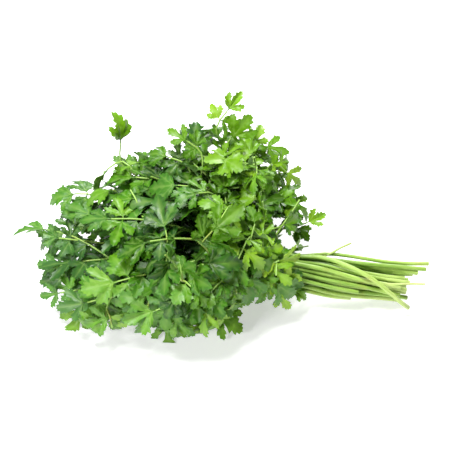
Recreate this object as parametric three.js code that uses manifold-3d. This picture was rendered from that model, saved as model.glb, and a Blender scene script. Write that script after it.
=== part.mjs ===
// A bunch of cut flat-leaf parsley, lying on its side on a table.
//
// Each leafy stem is one solid: a tapered stalk that runs from its cut end, through the tight neck of the
// bunch, out into the head, where it forks into sprigs of three lobed leaflets. The stems are packed in a
// spiral, as seeds are in a sunflower, with a few that lie loose on the outside. The leaflets are set one by
// one, each turned until it lies clear of everything that is already there.
//
// Millimetres. +X runs from the leafy head to the cut ends, +Z is up, and Z = 0 is the table.

import * as THREE from "three";
import Module from "manifold-3d";

const wasm = await Module();
wasm.setup();

const V = (x, y, z) => new THREE.Vector3(x, y, z);
const cross = (a, b) => new THREE.Vector3().crossVectors(a, b);
const degrees = THREE.MathUtils.degToRad;
const UP = V(0, 0, 1);

// ---------------------------------------------------------------------------------- driving dimensions

const SEED = 36;
const MIDDLE = V(0.72, 13.86, 0); // the middle of the bunch's footprint, which becomes the origin

// Stems
const STEMS = 34;
const GOLDEN_ANGLE = degrees(137.508);
const NECK = V(58, -2, 30); // the middle of the tightest section
const NECK_RADIUS = 14.2; // out to the middle of the outermost stems
const CUT = V(140, -2, 17.4); // the middle of the cut ends
const CUT_RADIUS = 16.6;
const BUNDLE_TWIST = degrees(38); // how far the bundle turns between its neck and its cut ends
const CUT_SPREAD = 7; // how far a cut end lies before or behind the middle
const LONG_STEM = 15; // how much longer the stems at the top and back of the bundle are
const STALK_RADIUS = { cut: 1.85, neck: 1.65, fork: 1.25 };
const STALK_THICKNESS = [0.82, 1.08]; // the thinnest and thickest stems, as shares of that
const STALK_SIDES = 5;

// Stems that lie loose on the outside of the bundle, or are cut short. By a stem's number: how much further
// round the bundle its cut end is, how far out it lies there as a share of its place, and X of its cut end.
const LOOSE_STEMS = {
  32: { turn: degrees(70), loose: 1.27, cutX: 146 },
  24: { turn: degrees(-14), loose: 1.1, cutX: 160 },
  29: { turn: degrees(-10), loose: 1.14, cutX: 163 },
  30: { turn: 0, loose: 1, cutX: 106 },
  33: { turn: 0, loose: 1, cutX: 101 },
};
const LOOSE_BY = 0.3; // a loose stem has left its place this far along from the neck
const TURN_POWER = 2.5; // and it turns mostly near its cut end
const BUNDLE_STEPS = 2; // a stem's straight pieces between its cut end and the neck
const LOOSE_STEPS = 6;

// Bare side stalks on the bundle: the stem that each grows from, X of its root, and its end.
const BARE_STALKS = [
  { stem: 29, x: 80, end: V(101, 10, 49) },
  { stem: 27, x: 126, end: V(158, -16, 29) },
];

// The head: the middle and half-widths of its section at stations along X
const HEAD = [
  { x: -152, y: 4, z: 38, wide: 16, high: 14 },
  { x: -139, y: 4, z: 38, wide: 52, high: 34 },
  { x: -107, y: 4, z: 42, wide: 78, high: 42 },
  { x: -76, y: 8, z: 52, wide: 84, high: 47 },
  { x: -45, y: 8, z: 56, wide: 98, high: 54 },
  { x: -14, y: 12, z: 59, wide: 102, high: 59 },
  { x: 17, y: 30, z: 62, wide: 82, high: 54 },
  { x: 49, y: 27, z: 54, wide: 64, high: 42 },
  { x: 64, y: 16, z: 44, wide: 42, high: 30 },
];
const FIRST_TIP = -117; // X of the longest stem's tip
const LAST_TIP = 20; // X of the shortest one's
const TIP_DEPTH = 0.8; // how far out a stem's tip lies, as a share of the way to the head's surface
const LOWEST_TIP = 7; // above the table
const TIP_DROOP = 0.45; // how strongly a stem's tip hangs, as a share of its own direction
const BRANCH_DROOP = 0.7; // and a branch's
const JOINT_DEPTH = 0.97; // the same share for the farthest joint of a side branch
const LEAF_DEPTH = 1.1; // and for the farthest point of a leaflet

// Branches
const FORK_BACK = 42; // a stem forks this far before its tip
const BRANCH_HALF = 0.72; // half the thickness of a branch, which is square
const BRANCH_LENGTH = [23, 47];
const BRANCH_ANGLE = degrees(55);
const LEAF_FOOT = 2.2; // the length of stalk that a side leaflet grows from
const LEAF_STALK = 9; // a sprig's end leaflet grows this far beyond its side ones

// Leaflets
const LEAF_LENGTH = 27;
const SIDE_LEAF_SHARE = 0.84;
const LEAF_ANGLE = degrees(70); // between a side leaflet and its stalk
const LEAF_THICKNESS = 0.8;
const TABLE_SINK = 0.15; // a blade's middle stops at this height, so a leaf on the table has a flat underside

// The outline of a leaflet's right half, in shares of its length: [along the rib, out from it].
// From its foot: the base of the side lobe, the side lobe's tip and the notch before the middle lobe.
const LEAF_HALF = [
  [0.34, 0.28],
  [0.7, 0.47],
  [0.64, 0.17],
];
const LEAF_TIP = [1, 0];
const RIB_POINT = [0.52, 0];

// Gaps between the sprigs, as lines that no leaflet crosses: where each starts, its length and its reach.
// The first three are hollows in the front. The others go right through the thin edges of the head.
const GAP_RUN = V(0, 0.777, -0.629);
const GAPS = [
  { start: V(-27, -37, 108), length: 46, reach: 6.5 },
  { start: V(-27, -54, 99), length: 46, reach: 6.5 },
  { start: V(-101, -20, 80), length: 34, reach: 6 },
  { start: V(50, -30, 85), length: 120, reach: 6 },
  { start: V(42, -10, 88), length: 110, reach: 3.5 },
  { start: V(44, 0, 122), length: 90, reach: 3 },
  { start: V(33, 10, 130), length: 90, reach: 3.5 },
  { start: V(-10, 20, 139), length: 100, reach: 4.5 },
  { start: V(-40, 20, 138), length: 100, reach: 5 },
];

// Sprigs that stand out of the head: where each one forks, where it points, the way that it faces and its
// size. A single one has only its end leaflet.
const STRAYS = [
  { at: V(-2, 75, 121), toward: V(0.5, 0.2, 0.6), facing: V(0, -1, 0.4), size: 0.7 },
  { at: V(-81, 60, 99), toward: V(0.1, 0.3, 1), facing: V(1, -0.5, 0), size: 0.95, single: true },
  { at: V(-126, -2, 70), toward: V(-1, 0, 0.25), facing: V(0.1, 0.1, 1), size: 1.05, single: true },
  { at: V(-84, 50, 97), toward: V(-0.8, 0, -0.7), facing: V(-0.54, 0.5, 0.62), size: 1, single: true },
  { at: V(24, 70, 100), toward: V(1, 0, -0.1), facing: V(0, -0.6, 0.8), size: 0.9 },
  { at: V(44, 56, 92), toward: V(0.6, -0.1, -0.7), facing: V(0.5, -0.6, 0.6), size: 0.8 },
  { at: V(47, 46, 70), toward: V(0.7, -0.1, -0.6), facing: V(0.5, -0.7, 0.6), size: 0.95 },
  { at: V(2, 66, 102), toward: V(0.3, 0, 0.5), facing: V(0.2, -0.8, 0.6), size: 1 },
  { at: V(58, 28, 51), toward: V(0.95, 0.1, 0.35), facing: V(0, -0.7, 0.7), size: 0.65 },
  { at: V(-66, 56, 78), toward: V(-0.5, 0.1, 0.4), facing: V(0, -1, 0.7), size: 0.7 },
  { at: V(-46, 58, 88), toward: V(0.1, 0.3, 0.5), facing: V(0, -1, 0.5), size: 0.7 },
  { at: V(-26, 56, 93), toward: V(0.1, 0.3, 0.4), facing: V(0.1, -0.8, 0.7), size: 0.9 },
  { at: V(-106, 38, 76), toward: V(-1, -0.1, 0.1), facing: V(0, -0.6, 0.8), size: 0.95 },
  { at: V(-112, 6, 66), toward: V(-1, -0.2, -0.1), facing: V(0, -0.5, 0.9), size: 0.95 },
  { at: V(-112, -16, 38), toward: V(-1, -0.2, -0.1), facing: V(-0.2, -0.7, 0.7), size: 0.85 },
  { at: V(-12, -34, 25), toward: V(0.6, -0.4, -0.4), facing: V(0.1, -0.8, 0.8), size: 0.95 },
  { at: V(-45, -36, 22), toward: V(0.1, -0.6, -0.7), facing: V(0, -0.7, 0.7), size: 0.95 },
  { at: V(-106, -20, 20), toward: V(-0.3, -0.5, -0.7), facing: V(0, -0.7, 0.7), size: 1 },
  { at: V(-30, 58, 20), toward: V(0, 0.6, -0.7), facing: V(0, 0.7, 0.7), size: 1 },
  { at: V(24, 62, 22), toward: V(0.3, 0.5, -0.7), facing: V(0.2, 0.7, 0.6), size: 0.9 },
  { at: V(18, -40, 74), toward: V(0.05, -0.35, -0.93), facing: V(0, -0.8, 0.6), size: 1.15 },
  { at: V(39, -26, 62), toward: V(0.35, -0.3, -0.85), facing: V(0.1, -0.75, 0.65), size: 1.05, single: true },
  { at: V(-13, -42, 96), toward: V(0.5, 0.1, 0.6), facing: V(0, -0.75, 0.65), size: 1.2 },
];

// Clearances
const LEAF_REACH = 2.8; // how near the sampled middle of anything else may come to a blade's
const STALK_REACH = 2.2; // and to a stalk's surface
const JOINT_ROOM = 7; // leaflets of one stem may meet this near to the joint that they share
const TRIES = 80;

// ---------------------------------------------------------------------------------- random numbers

// Park and Miller's generator, so that each run makes the same bunch.
let state = SEED;
function random() {
  state = (state * 48271) % 2147483647;
  return state / 2147483647;
}
const between = ([low, high]) => low + (high - low) * random();
const about = (middle, spread) => middle + spread * (2 * random() - 1);

// ---------------------------------------------------------------------------------- the form of the head

function section(x) {
  let k = 0;
  while (k < HEAD.length - 2 && x > HEAD[k + 1].x) k++;
  const [a, b] = [HEAD[k], HEAD[k + 1]];
  const t = THREE.MathUtils.clamp((x - a.x) / (b.x - a.x), 0, 1);
  const mix = (key) => a[key] + (b[key] - a[key]) * t;
  return { y: mix("y"), z: mix("z"), wide: mix("wide"), high: mix("high") };
}

// 1 on the head's surface, less inside it.
function depthAt(p) {
  if (p.x < HEAD[0].x || p.x > HEAD.at(-1).x) return Infinity;
  const s = section(p.x);
  return Math.hypot((p.y - s.y) / s.wide, (p.z - s.z) / s.high);
}

// Away from the head's middle line, and a little upwards.
function outwardAt(p) {
  const s = section(p.x);
  return V(0, (p.y - s.y) / s.wide ** 2, (p.z - s.z) / s.high ** 2 + 0.004).normalize();
}

// A direction bent back towards the head's surface, as its sprigs are.
function laid(direction, outward) {
  return direction.clone().addScaledVector(outward, -0.85 * direction.dot(outward)).normalize();
}

// ---------------------------------------------------------------------------------- room

// A grid of one-millimetre cells over the bunch. Each holds which stem and which leaflet come near it.
const ROOM_LOW = V(-180, -125, -6);
const ROOM_SIZE = V(360, 260, 170);
const SEVERAL = -1;
const NOBODY = 99; // the owner of a gap's cells
const nearStem = new Int16Array(ROOM_SIZE.x * ROOM_SIZE.y * ROOM_SIZE.z);
const nearLeaf = new Int16Array(nearStem.length);
const cellIndex = (i, j, k) => (i * ROOM_SIZE.y + j) * ROOM_SIZE.z + k;

function cellOf(p) {
  return p.clone().sub(ROOM_LOW).floor().toArray();
}

function take(grid, cell, owner) {
  grid[cell] = grid[cell] === 0 || grid[cell] === owner ? owner : SEVERAL;
}

function mark(points, reach, stem, leaf) {
  const n = Math.ceil(reach);
  for (const p of points) {
    const [i, j, k] = cellOf(p);
    for (let di = -n; di <= n; di++)
      for (let dj = -n; dj <= n; dj++)
        for (let dk = -n; dk <= n; dk++) {
          if (di * di + dj * dj + dk * dk > reach * reach) continue;
          const cell = cellIndex(i + di, j + dj, k + dk);
          take(nearStem, cell, stem);
          if (leaf) take(nearLeaf, cell, leaf);
        }
  }
}

// True where no point is near another stem, nor near another leaflet once it is away from the joint.
function clear(points, stem, joint) {
  return points.every((p) => {
    const cell = cellIndex(...cellOf(p));
    if (nearStem[cell] !== 0 && nearStem[cell] !== stem) return false;
    return nearLeaf[cell] === 0 || p.distanceTo(joint) < JOINT_ROOM;
  });
}

// Points every millimetre and a half along a line of points.
function along(line) {
  const points = [];
  for (let k = 0; k < line.length - 1; k++) {
    const n = Math.ceil(line[k].distanceTo(line[k + 1]) / 1.5);
    for (let m = 0; m < n; m++) points.push(line[k].clone().lerp(line[k + 1], m / n));
  }
  return [...points, line.at(-1)];
}

// ---------------------------------------------------------------------------------- solids

function solidOf(points, faces) {
  const vertProperties = new Float32Array(points.flatMap((p) => p.toArray()));
  const mesh = new wasm.Mesh({ numProp: 3, vertProperties, triVerts: new Uint32Array(faces.flat()) });
  return new wasm.Manifold(mesh);
}

// At each point of a line, the directions to its left and upwards, carried back from its end.
function framesOf(line, top) {
  const last = line.length - 1;
  const frames = [];
  let up = top;
  for (let k = last; k >= 0; k--) {
    const tangent = line[Math.min(k + 1, last)].clone().sub(line[Math.max(k - 1, 0)]).normalize();
    up = up.clone().addScaledVector(tangent, -up.dot(tangent)).normalize();
    frames[k] = { up, left: cross(up, tangent) };
  }
  return frames;
}

// Rings of corners round the points of a line, each corner as [left, up] in shares of the ring's size.
function rings(line, top, corners, sizeAt) {
  const frames = framesOf(line, top);
  return line.flatMap((p, k) => {
    const size = sizeAt(k / (line.length - 1));
    const { up, left } = frames[k];
    return corners.map(([a, b]) => p.clone().addScaledVector(left, a * size).addScaledVector(up, b * size));
  });
}

function stalkSolid(stem) {
  const n = STALK_SIDES;
  const angles = Array.from({ length: n }, (_, s) => (2 * Math.PI * s) / n);
  const corners = angles.map((a) => [Math.cos(a), Math.sin(a)]);
  const points = rings(stem.line, UP, corners, (share) => stalkRadius(stem, share));
  const faces = [];
  const last = (stem.line.length - 1) * n;
  for (let ring = 0; ring < last; ring += n)
    for (let s = 0; s < n; s++) {
      const a = ring + s;
      const b = ring + ((s + 1) % n);
      faces.push([a, b, b + n], [a, b + n, a + n]);
    }
  for (let s = 1; s < n - 1; s++) faces.push([0, s + 1, s], [last, last + s, last + s + 1]);
  return solidOf(points, faces);
}

// A square stalk with up to three leaflets, in one closed surface. The side leaflets grow between the
// line's third and fourth points, and the end one grows from its last.
const SQUARE = [
  [1, 1],
  [-1, 1],
  [-1, -1],
  [1, -1],
];
function sprigSolid(line, top, leaves) {
  const points = rings(line, top, SQUARE, () => BRANCH_HALF);
  const faces = [];
  const corner = (k, s) => 4 * k + (s % 4);
  const quad = (a, b, c, d) => faces.push([a, b, c], [a, c, d]);
  const end = line.length - 1;
  const foot = end - 2;
  for (let k = 0; k < end; k++)
    for (let s = 0; s < 4; s++) {
      const grows = k === foot && ((s === 3 && leaves.left) || (s === 1 && leaves.right));
      if (!grows) quad(corner(k, s), corner(k, s + 1), corner(k + 1, s + 1), corner(k + 1, s));
    }
  quad(corner(0, 3), corner(0, 2), corner(0, 1), corner(0, 0));
  if (!leaves.end) quad(corner(end, 0), corner(end, 1), corner(end, 2), corner(end, 3));
  // The corners of each leaflet's foot: on its right, upper and under, then on its left.
  const feet = {
    end: [corner(end, 1), corner(end, 2), corner(end, 0), corner(end, 3)],
    left: [corner(foot + 1, 0), corner(foot + 1, 3), corner(foot, 0), corner(foot, 3)],
    right: [corner(foot, 1), corner(foot, 2), corner(foot + 1, 1), corner(foot + 1, 2)],
  };
  for (const [place, leaf] of Object.entries(leaves)) {
    if (leaf) addBlade(points, faces, leaf, feet[place]);
  }
  return solidOf(points, faces);
}

// A thin blade, its upper and under sides split alike into a fan round the point on its rib.
function addBlade(points, faces, leaf, [rightUpper, rightUnder, leftUpper, leftUnder]) {
  const half = leaf.normal.clone().multiplyScalar(LEAF_THICKNESS / 2);
  const middle = LEAF_PLAN.map(([u, v]) => leafPoint(leaf, u, v));
  const start = points.length;
  points.push(...middle.map((p) => p.clone().add(half)), ...middle.map((p) => p.clone().sub(half)));
  const upper = middle.map((_, k) => start + k);
  const under = upper.map((k) => k + middle.length);
  const ribUpper = upper.pop();
  const ribUnder = under.pop();
  const edgeUpper = [rightUpper, ...upper, leftUpper];
  const edgeUnder = [rightUnder, ...under, leftUnder];
  edgeUpper.forEach((a, k) => {
    const next = (k + 1) % edgeUpper.length;
    faces.push([ribUpper, a, edgeUpper[next]], [ribUnder, edgeUnder[next], edgeUnder[k]]);
    if (next === 0) return;
    faces.push([a, edgeUnder[k], edgeUnder[next]], [a, edgeUnder[next], edgeUpper[next]]);
  });
}

// ---------------------------------------------------------------------------------- leaflets

// The outline from the right of the leaflet's foot round to the left, then the point on its rib.
const LEAF_PLAN = [
  ...LEAF_HALF.map(([u, v]) => [u, -v]),
  LEAF_TIP,
  ...LEAF_HALF.toReversed(),
  RIB_POINT,
];

// The blade's middle surface: folded along its rib, twisted, and drooping towards its tip.
function leafPoint(leaf, u, v) {
  const lift = leaf.fold * Math.abs(v) - leaf.droop * u * u + leaf.skew * u * v;
  const p = leaf.base
    .clone()
    .addScaledVector(leaf.along, u * leaf.length)
    .addScaledVector(leaf.across, v * leaf.length)
    .addScaledVector(leaf.normal, lift * leaf.length);
  p.z = Math.max(p.z, TABLE_SINK);
  return p;
}

// Points all over the blade, in the fan from its rib.
const FAN_STEPS = 6;
function leafSamples(leaf) {
  const points = [[0, 0], ...LEAF_PLAN].map(([u, v]) => leafPoint(leaf, u, v));
  const rib = points.pop();
  return points.flatMap((a, k) => {
    const toA = a.clone().sub(rib);
    const toB = points[(k + 1) % points.length].clone().sub(rib);
    const samples = [];
    for (let m = 0; m <= FAN_STEPS; m++)
      for (let n = 0; n <= FAN_STEPS - m; n++) {
        samples.push(rib.clone().addScaledVector(toA, m / FAN_STEPS).addScaledVector(toB, n / FAN_STEPS));
      }
    return samples;
  });
}

// A leaflet's own direction in the sprig's plane, then its own droop and roll, wilder with each try.
function leafOf(base, direction, normal, angle, length, unrest) {
  const across = cross(normal, direction).normalize();
  const turn = angle + degrees(about(0, 8 + 25 * unrest));
  const run = direction.clone().multiplyScalar(Math.cos(turn)).addScaledVector(across, Math.sin(turn));
  const pitch = degrees(about(-4, 12 + 26 * unrest));
  const ahead = run.clone().applyAxisAngle(cross(run, normal).normalize(), pitch);
  const roll = degrees(about(0, 20 + 40 * unrest));
  const side = cross(normal.clone().applyAxisAngle(ahead, roll), ahead).normalize();
  return {
    base,
    along: ahead,
    across: side,
    normal: cross(ahead, side),
    length: length * (1 - 0.25 * unrest) * between([0.92, 1.08]),
    fold: about(0.06, 0.22),
    droop: about(0.12, 0.14),
    skew: about(0, 0.2),
  };
}

let leafCount = 0;
function growLeaf(sprig, base, angle, length) {
  for (let n = 0; n < TRIES; n++) {
    const leaf = leafOf(base, sprig.direction, sprig.normal, angle, length, n / TRIES);
    const samples = leafSamples(leaf);
    if (!samples.every((p) => depthAt(p) <= sprig.limit)) continue;
    if (!clear(samples, sprig.stem.index, base)) continue;
    leafCount++;
    mark(samples, LEAF_REACH, sprig.stem.index, leafCount);
    return leaf;
  }
  return null;
}

// ---------------------------------------------------------------------------------- stems

// A smooth line that leaves one point along a direction, and arrives at another along another.
function curve(from, leaving, to, arriving) {
  const d = from.distanceTo(to) / 3;
  const second = from.clone().addScaledVector(leaving, d);
  const third = to.clone().addScaledVector(arriving, -d);
  return new THREE.CubicBezierCurve3(from, second, third, to);
}

// Where a stem crosses the bundle's section at x, from its place in the neck's section.
function bundlePoint(x, { angle, out, turn, loose }) {
  const t = (x - NECK.x) / (CUT.x - NECK.x);
  const middle = NECK.clone().lerp(CUT, t);
  const off = 1 + (loose - 1) * THREE.MathUtils.smoothstep(t, 0, LOOSE_BY);
  const radius = out * off * (NECK_RADIUS + (CUT_RADIUS - NECK_RADIUS) * t);
  const turned = angle + BUNDLE_TWIST * t + turn * Math.max(0, t) ** TURN_POWER;
  return V(x, middle.y + radius * Math.cos(turned), middle.z + radius * Math.sin(turned));
}

// A stem's tip: the inner stems are the long ones, and the outer ones bend out to the head's flanks.
function tipOf(angle, share) {
  const x = FIRST_TIP + (LAST_TIP - FIRST_TIP) * share ** 0.8 + about(0, 6);
  const s = section(x);
  const out = TIP_DEPTH * Math.min(1, 2.2 * Math.sqrt(share)) * between([0.86, 1.1]);
  const z = s.z + out * s.high * Math.sin(angle);
  return V(x, s.y + out * s.wide * Math.cos(angle), Math.max(z, LOWEST_TIP));
}

// The seen height of a stem's cut end in the bundle, from the front and above: -1 to 1.
function seenHeight(angle, out) {
  const atCut = angle + BUNDLE_TWIST;
  return out * (0.78 * Math.sin(atCut) + 0.63 * Math.cos(atCut));
}

function stemAt(index) {
  const share = (index + 0.5) / STEMS;
  const angle = index * GOLDEN_ANGLE;
  const out = Math.sqrt(share);
  const longer = seenHeight(angle, out) > 0.55 ? LONG_STEM : 0;
  const tightCutX = CUT.x + about(0, CUT_SPREAD) + longer;
  const thickness = between(STALK_THICKNESS);
  const tip = tipOf(angle, share);
  const { turn, loose, cutX } = LOOSE_STEMS[index] ?? { turn: 0, loose: 1, cutX: tightCutX };
  const place = { angle, out, turn, loose };
  const neck = bundlePoint(NECK.x, place);
  const leaving = neck.clone().sub(bundlePoint(NECK.x + 20, place)).normalize();
  const towardTip = tip.clone().sub(neck).normalize().addScaledVector(leaving, 0.3);
  towardTip.z -= TIP_DROOP;
  const outer = curve(neck, leaving, tip, laid(towardTip, outwardAt(tip)));
  const fork = Math.max(0.4, 1 - FORK_BACK / neck.distanceTo(tip));
  const steps = turn ? LOOSE_STEPS : BUNDLE_STEPS;
  const bundled = Array.from({ length: steps }, (_, n) => {
    return bundlePoint(cutX + ((NECK.x - cutX) * n) / steps, place);
  });
  const free = [0, 0.2, 0.4, 0.6, 0.8, 1].map((t) => outer.getPoint(t * fork));
  return {
    index: index + 1,
    place,
    thickness,
    tip,
    outer,
    fork,
    line: [...bundled, ...free],
    end: branchLine(outer.getPoint(fork - 0.02), outer.getTangent(fork), tip, outer.getTangent(1)),
    pieces: [],
  };
}

function stalkRadius(stem, share) {
  const { cut, neck, fork } = STALK_RADIUS;
  const { lerp, clamp } = THREE.MathUtils;
  const neckShare = 0.3;
  const toNeck = clamp(share / neckShare, 0, 1);
  const toFork = clamp((share - neckShare) / (1 - neckShare), 0, 1);
  return lerp(lerp(cut, neck, toNeck), fork, toFork) * stem.thickness;
}

// ---------------------------------------------------------------------------------- sprigs

// A stalk that arches from its root to its side leaflets, and on to its end one.
function branchLine(root, leaving, joint, direction) {
  const line = [
    root,
    curve(root, leaving, joint, direction).getPoint(0.5),
    joint.clone().addScaledVector(direction, -LEAF_FOOT / 2),
    joint.clone().addScaledVector(direction, LEAF_FOOT / 2),
    joint.clone().addScaledVector(direction, LEAF_STALK),
  ];
  for (const p of line) p.z = Math.max(p.z, BRANCH_HALF + TABLE_SINK);
  return line;
}

function growSprig(stem, line, outward, { size = 1, single = false, limit = LEAF_DEPTH, unrest = 0.35 }) {
  const [foot, beyond, end] = line.slice(-3);
  const direction = end.clone().sub(beyond).normalize();
  const normal = outward.clone().add(V(about(0, unrest), about(0, unrest), about(0, unrest)));
  normal.addScaledVector(direction, -normal.dot(direction)).normalize();
  const sprig = { stem, direction, normal, limit };
  const length = LEAF_LENGTH * size;
  const leaves = { end: growLeaf(sprig, end, 0, length) };
  if (!single) {
    const joint = foot.clone().lerp(beyond, 0.5);
    leaves.left = growLeaf(sprig, joint, LEAF_ANGLE, length * SIDE_LEAF_SHARE);
    leaves.right = growLeaf(sprig, joint, -LEAF_ANGLE, length * SIDE_LEAF_SHARE);
  }
  if (leaves.end || leaves.left || leaves.right) stem.pieces.push(sprigSolid(line, normal, leaves));
}

// Grows a stalk and its sprig if nothing is in the stalk's way.
function tryBranch(stem, line, probes, outward, options) {
  const stalk = along(line).slice(2);
  if (!clear([...stalk, ...probes], stem.index, line[0])) return false;
  mark(stalk, BRANCH_HALF + STALK_REACH, stem.index, 0);
  growSprig(stem, line, outward, options);
  return true;
}

// A side branch, to the left or the right of where its stem forks.
function growBranch(stem, side) {
  const { outer, fork } = stem;
  const root = outer.getPoint(fork - 0.03 - 0.02 * side);
  const run = outer.getTangent(fork);
  const outward = outwardAt(stem.tip);
  const across = cross(outward, run).normalize().multiplyScalar(side);
  for (let n = 0; n < TRIES; n++) {
    const angle = BRANCH_ANGLE + degrees(about((35 * stem.index) / STEMS, 25));
    const length = between(BRANCH_LENGTH);
    const direction = run
      .clone()
      .multiplyScalar(Math.cos(angle))
      .addScaledVector(across, Math.sin(angle))
      .addScaledVector(outward, about(0.25, 0.4))
      .normalize();
    const joint = root.clone().addScaledVector(direction, length);
    joint.z = Math.max(joint.z, 2.5);
    if (depthAt(joint) > JOINT_DEPTH) continue;
    const here = outwardAt(joint);
    const arriving = laid(direction.clone().addScaledVector(UP, -BRANCH_DROOP), here);
    const spread = cross(here, arriving).normalize();
    const probes = [
      joint.clone().addScaledVector(arriving, 20),
      joint.clone().addScaledVector(spread, 12),
      joint.clone().addScaledVector(spread, -12),
    ];
    const leaving = run.clone().lerp(direction, 0.5).normalize();
    if (tryBranch(stem, branchLine(root, leaving, joint, arriving), probes, here, {})) return;
  }
}

// A sprig at a chosen place, on a stalk from the nearest stem that can reach it.
const SHORTEST_STRAY = 18;
const STRAY_UNREST = 0.12;
function growStray({ at, toward, facing, size, single }) {
  const roots = stems.flatMap((stem) =>
    [0.25, 0.45, 0.65, 0.85].map((share) => {
      const root = stem.outer.getPoint(share * stem.fork);
      return { stem, root, leaving: stem.outer.getTangent(share * stem.fork), far: root.distanceTo(at) };
    }),
  );
  roots.sort((a, b) => a.far - b.far);
  const options = { size, single, limit: Infinity, unrest: STRAY_UNREST };
  for (const { stem, root, leaving, far } of roots) {
    if (far < SHORTEST_STRAY) continue;
    const line = branchLine(root, leaving, at, toward.clone().normalize());
    if (tryBranch(stem, line, [], facing.clone().normalize(), options)) return;
  }
}

// A side stalk with no leaflets, from the bundled part of a stem.
function growBare({ stem: index, x, end }) {
  const stem = stems[index];
  const root = bundlePoint(x, stem.place);
  const leaving = bundlePoint(x + 1, stem.place).sub(root).normalize();
  const direction = end.clone().sub(root).normalize();
  const line = branchLine(root, leaving, end.clone().addScaledVector(direction, -LEAF_STALK), direction);
  mark(along(line).slice(2), BRANCH_HALF + STALK_REACH, stem.index, 0);
  stem.pieces.push(sprigSolid(line, UP, {}));
}

// ---------------------------------------------------------------------------------- the bunch

const stems = Array.from({ length: STEMS }, (_, index) => stemAt(index));
for (const stem of stems) {
  mark(along(stem.line), STALK_RADIUS.neck + STALK_REACH, stem.index, 0);
  mark(along(stem.end), BRANCH_HALF + STALK_REACH, stem.index, 0);
  stem.pieces.push(stalkSolid(stem));
}
for (const { start, length, reach } of GAPS) {
  mark(along([start, start.clone().addScaledVector(GAP_RUN, length)]), reach, NOBODY, 0);
}
BARE_STALKS.forEach(growBare);
STRAYS.forEach(growStray);
for (const stem of stems) growSprig(stem, stem.end, outwardAt(stem.tip), {});
for (const stem of stems) {
  if (stem.index % 2 === 0) growBranch(stem, -1);
  growBranch(stem, 1);
}

function meshOf(solid, name) {
  const { vertProperties, triVerts, numProp } = solid.getMesh();
  const geometry = new THREE.BufferGeometry();
  geometry.setAttribute("position", new THREE.BufferAttribute(vertProperties, numProp));
  geometry.setIndex(new THREE.BufferAttribute(triVerts, 1));
  geometry.computeVertexNormals();
  const green = new THREE.MeshStandardMaterial({ color: 0x5c9636, roughness: 0.55, metalness: 0 });
  const mesh = new THREE.Mesh(geometry, green);
  mesh.name = name;
  return mesh;
}

const bunch = new THREE.Group();
for (const stem of stems) {
  // What lies on the table is flat underneath.
  const solid = wasm.Manifold.union(stem.pieces).trimByPlane([0, 0, 1], 0);
  bunch.add(meshOf(solid, "leafy_stem_" + String(stem.index).padStart(2, "0")));
}
bunch.position.copy(MIDDLE).negate();

export default bunch;
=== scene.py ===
"""The looks of a bunch of cut flat-leaf parsley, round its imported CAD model.

The CAD source lays the bunch out with one line of random numbers. This script draws the same numbers in the
same order, so each stalk and leaflet is found again exactly where its solid is. Each is then made again as a
finer mesh: a ribbed round stalk, or a toothed and veined blade. More sprigs of the same kind fill the head.

The layout is in millimetres, with the CAD source's own origin. A mesh is in metres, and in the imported
model's frame.
"""

from functools import cache
from math import ceil, cos, exp, inf, pi, radians, sin, sqrt
from types import SimpleNamespace

import bpy
import numpy as np
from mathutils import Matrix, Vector
from mathutils.geometry import delaunay_2d_cdt


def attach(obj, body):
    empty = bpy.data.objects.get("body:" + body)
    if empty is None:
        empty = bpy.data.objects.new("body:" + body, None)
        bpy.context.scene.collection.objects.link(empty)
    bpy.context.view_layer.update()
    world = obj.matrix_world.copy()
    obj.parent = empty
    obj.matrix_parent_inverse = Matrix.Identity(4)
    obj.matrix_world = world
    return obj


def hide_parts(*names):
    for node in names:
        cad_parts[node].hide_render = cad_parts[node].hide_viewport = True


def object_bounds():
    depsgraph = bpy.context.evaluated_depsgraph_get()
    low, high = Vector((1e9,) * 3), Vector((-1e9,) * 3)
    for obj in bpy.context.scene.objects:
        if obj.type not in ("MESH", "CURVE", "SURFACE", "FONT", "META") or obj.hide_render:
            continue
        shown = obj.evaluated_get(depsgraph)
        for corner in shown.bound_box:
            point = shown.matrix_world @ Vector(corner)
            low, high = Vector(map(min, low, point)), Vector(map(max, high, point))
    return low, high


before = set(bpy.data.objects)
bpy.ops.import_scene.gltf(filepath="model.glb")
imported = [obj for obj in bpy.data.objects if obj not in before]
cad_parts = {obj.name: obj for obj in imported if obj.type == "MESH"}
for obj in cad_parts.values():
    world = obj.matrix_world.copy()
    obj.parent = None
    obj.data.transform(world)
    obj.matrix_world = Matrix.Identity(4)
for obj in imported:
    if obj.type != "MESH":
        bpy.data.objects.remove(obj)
CAD_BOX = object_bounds()


def vec(x, y, z):
    return np.array((x, y, z), float)


UP = vec(0, 0, 1)

# ---- the CAD source's driving dimensions

SEED = 36
MIDDLE = vec(0.72, 13.86, 0)
STEMS = 34
GOLDEN_ANGLE = radians(137.508)
NECK = vec(58, -2, 30)
NECK_RADIUS = 14.2
CUT = vec(140, -2, 17.4)
CUT_RADIUS = 16.6
BUNDLE_TWIST = radians(38)
CUT_SPREAD = 7
# Stems that lie high at the bundle's cut end, as the camera sees it, are longer.
SEEN_UP = (0.63, 0.78)
LONG_ABOVE, LONG_STEM = 0.55, 15
# Stems that lie loose on the outside of the bundle: how much further round each is at its cut end, how far
# out it lies there, and where it is cut.
LOOSE_STEMS = {
    32: (radians(70), 1.27, 146),
    24: (radians(-14), 1.1, 160),
    29: (radians(-10), 1.14, 163),
    30: (0, 1, 106),
    33: (0, 1, 101),
}
LOOSE_BY = 0.3
TURN_POWER = 2.5
BUNDLE_STEPS, LOOSE_STEPS = 2, 6
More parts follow.
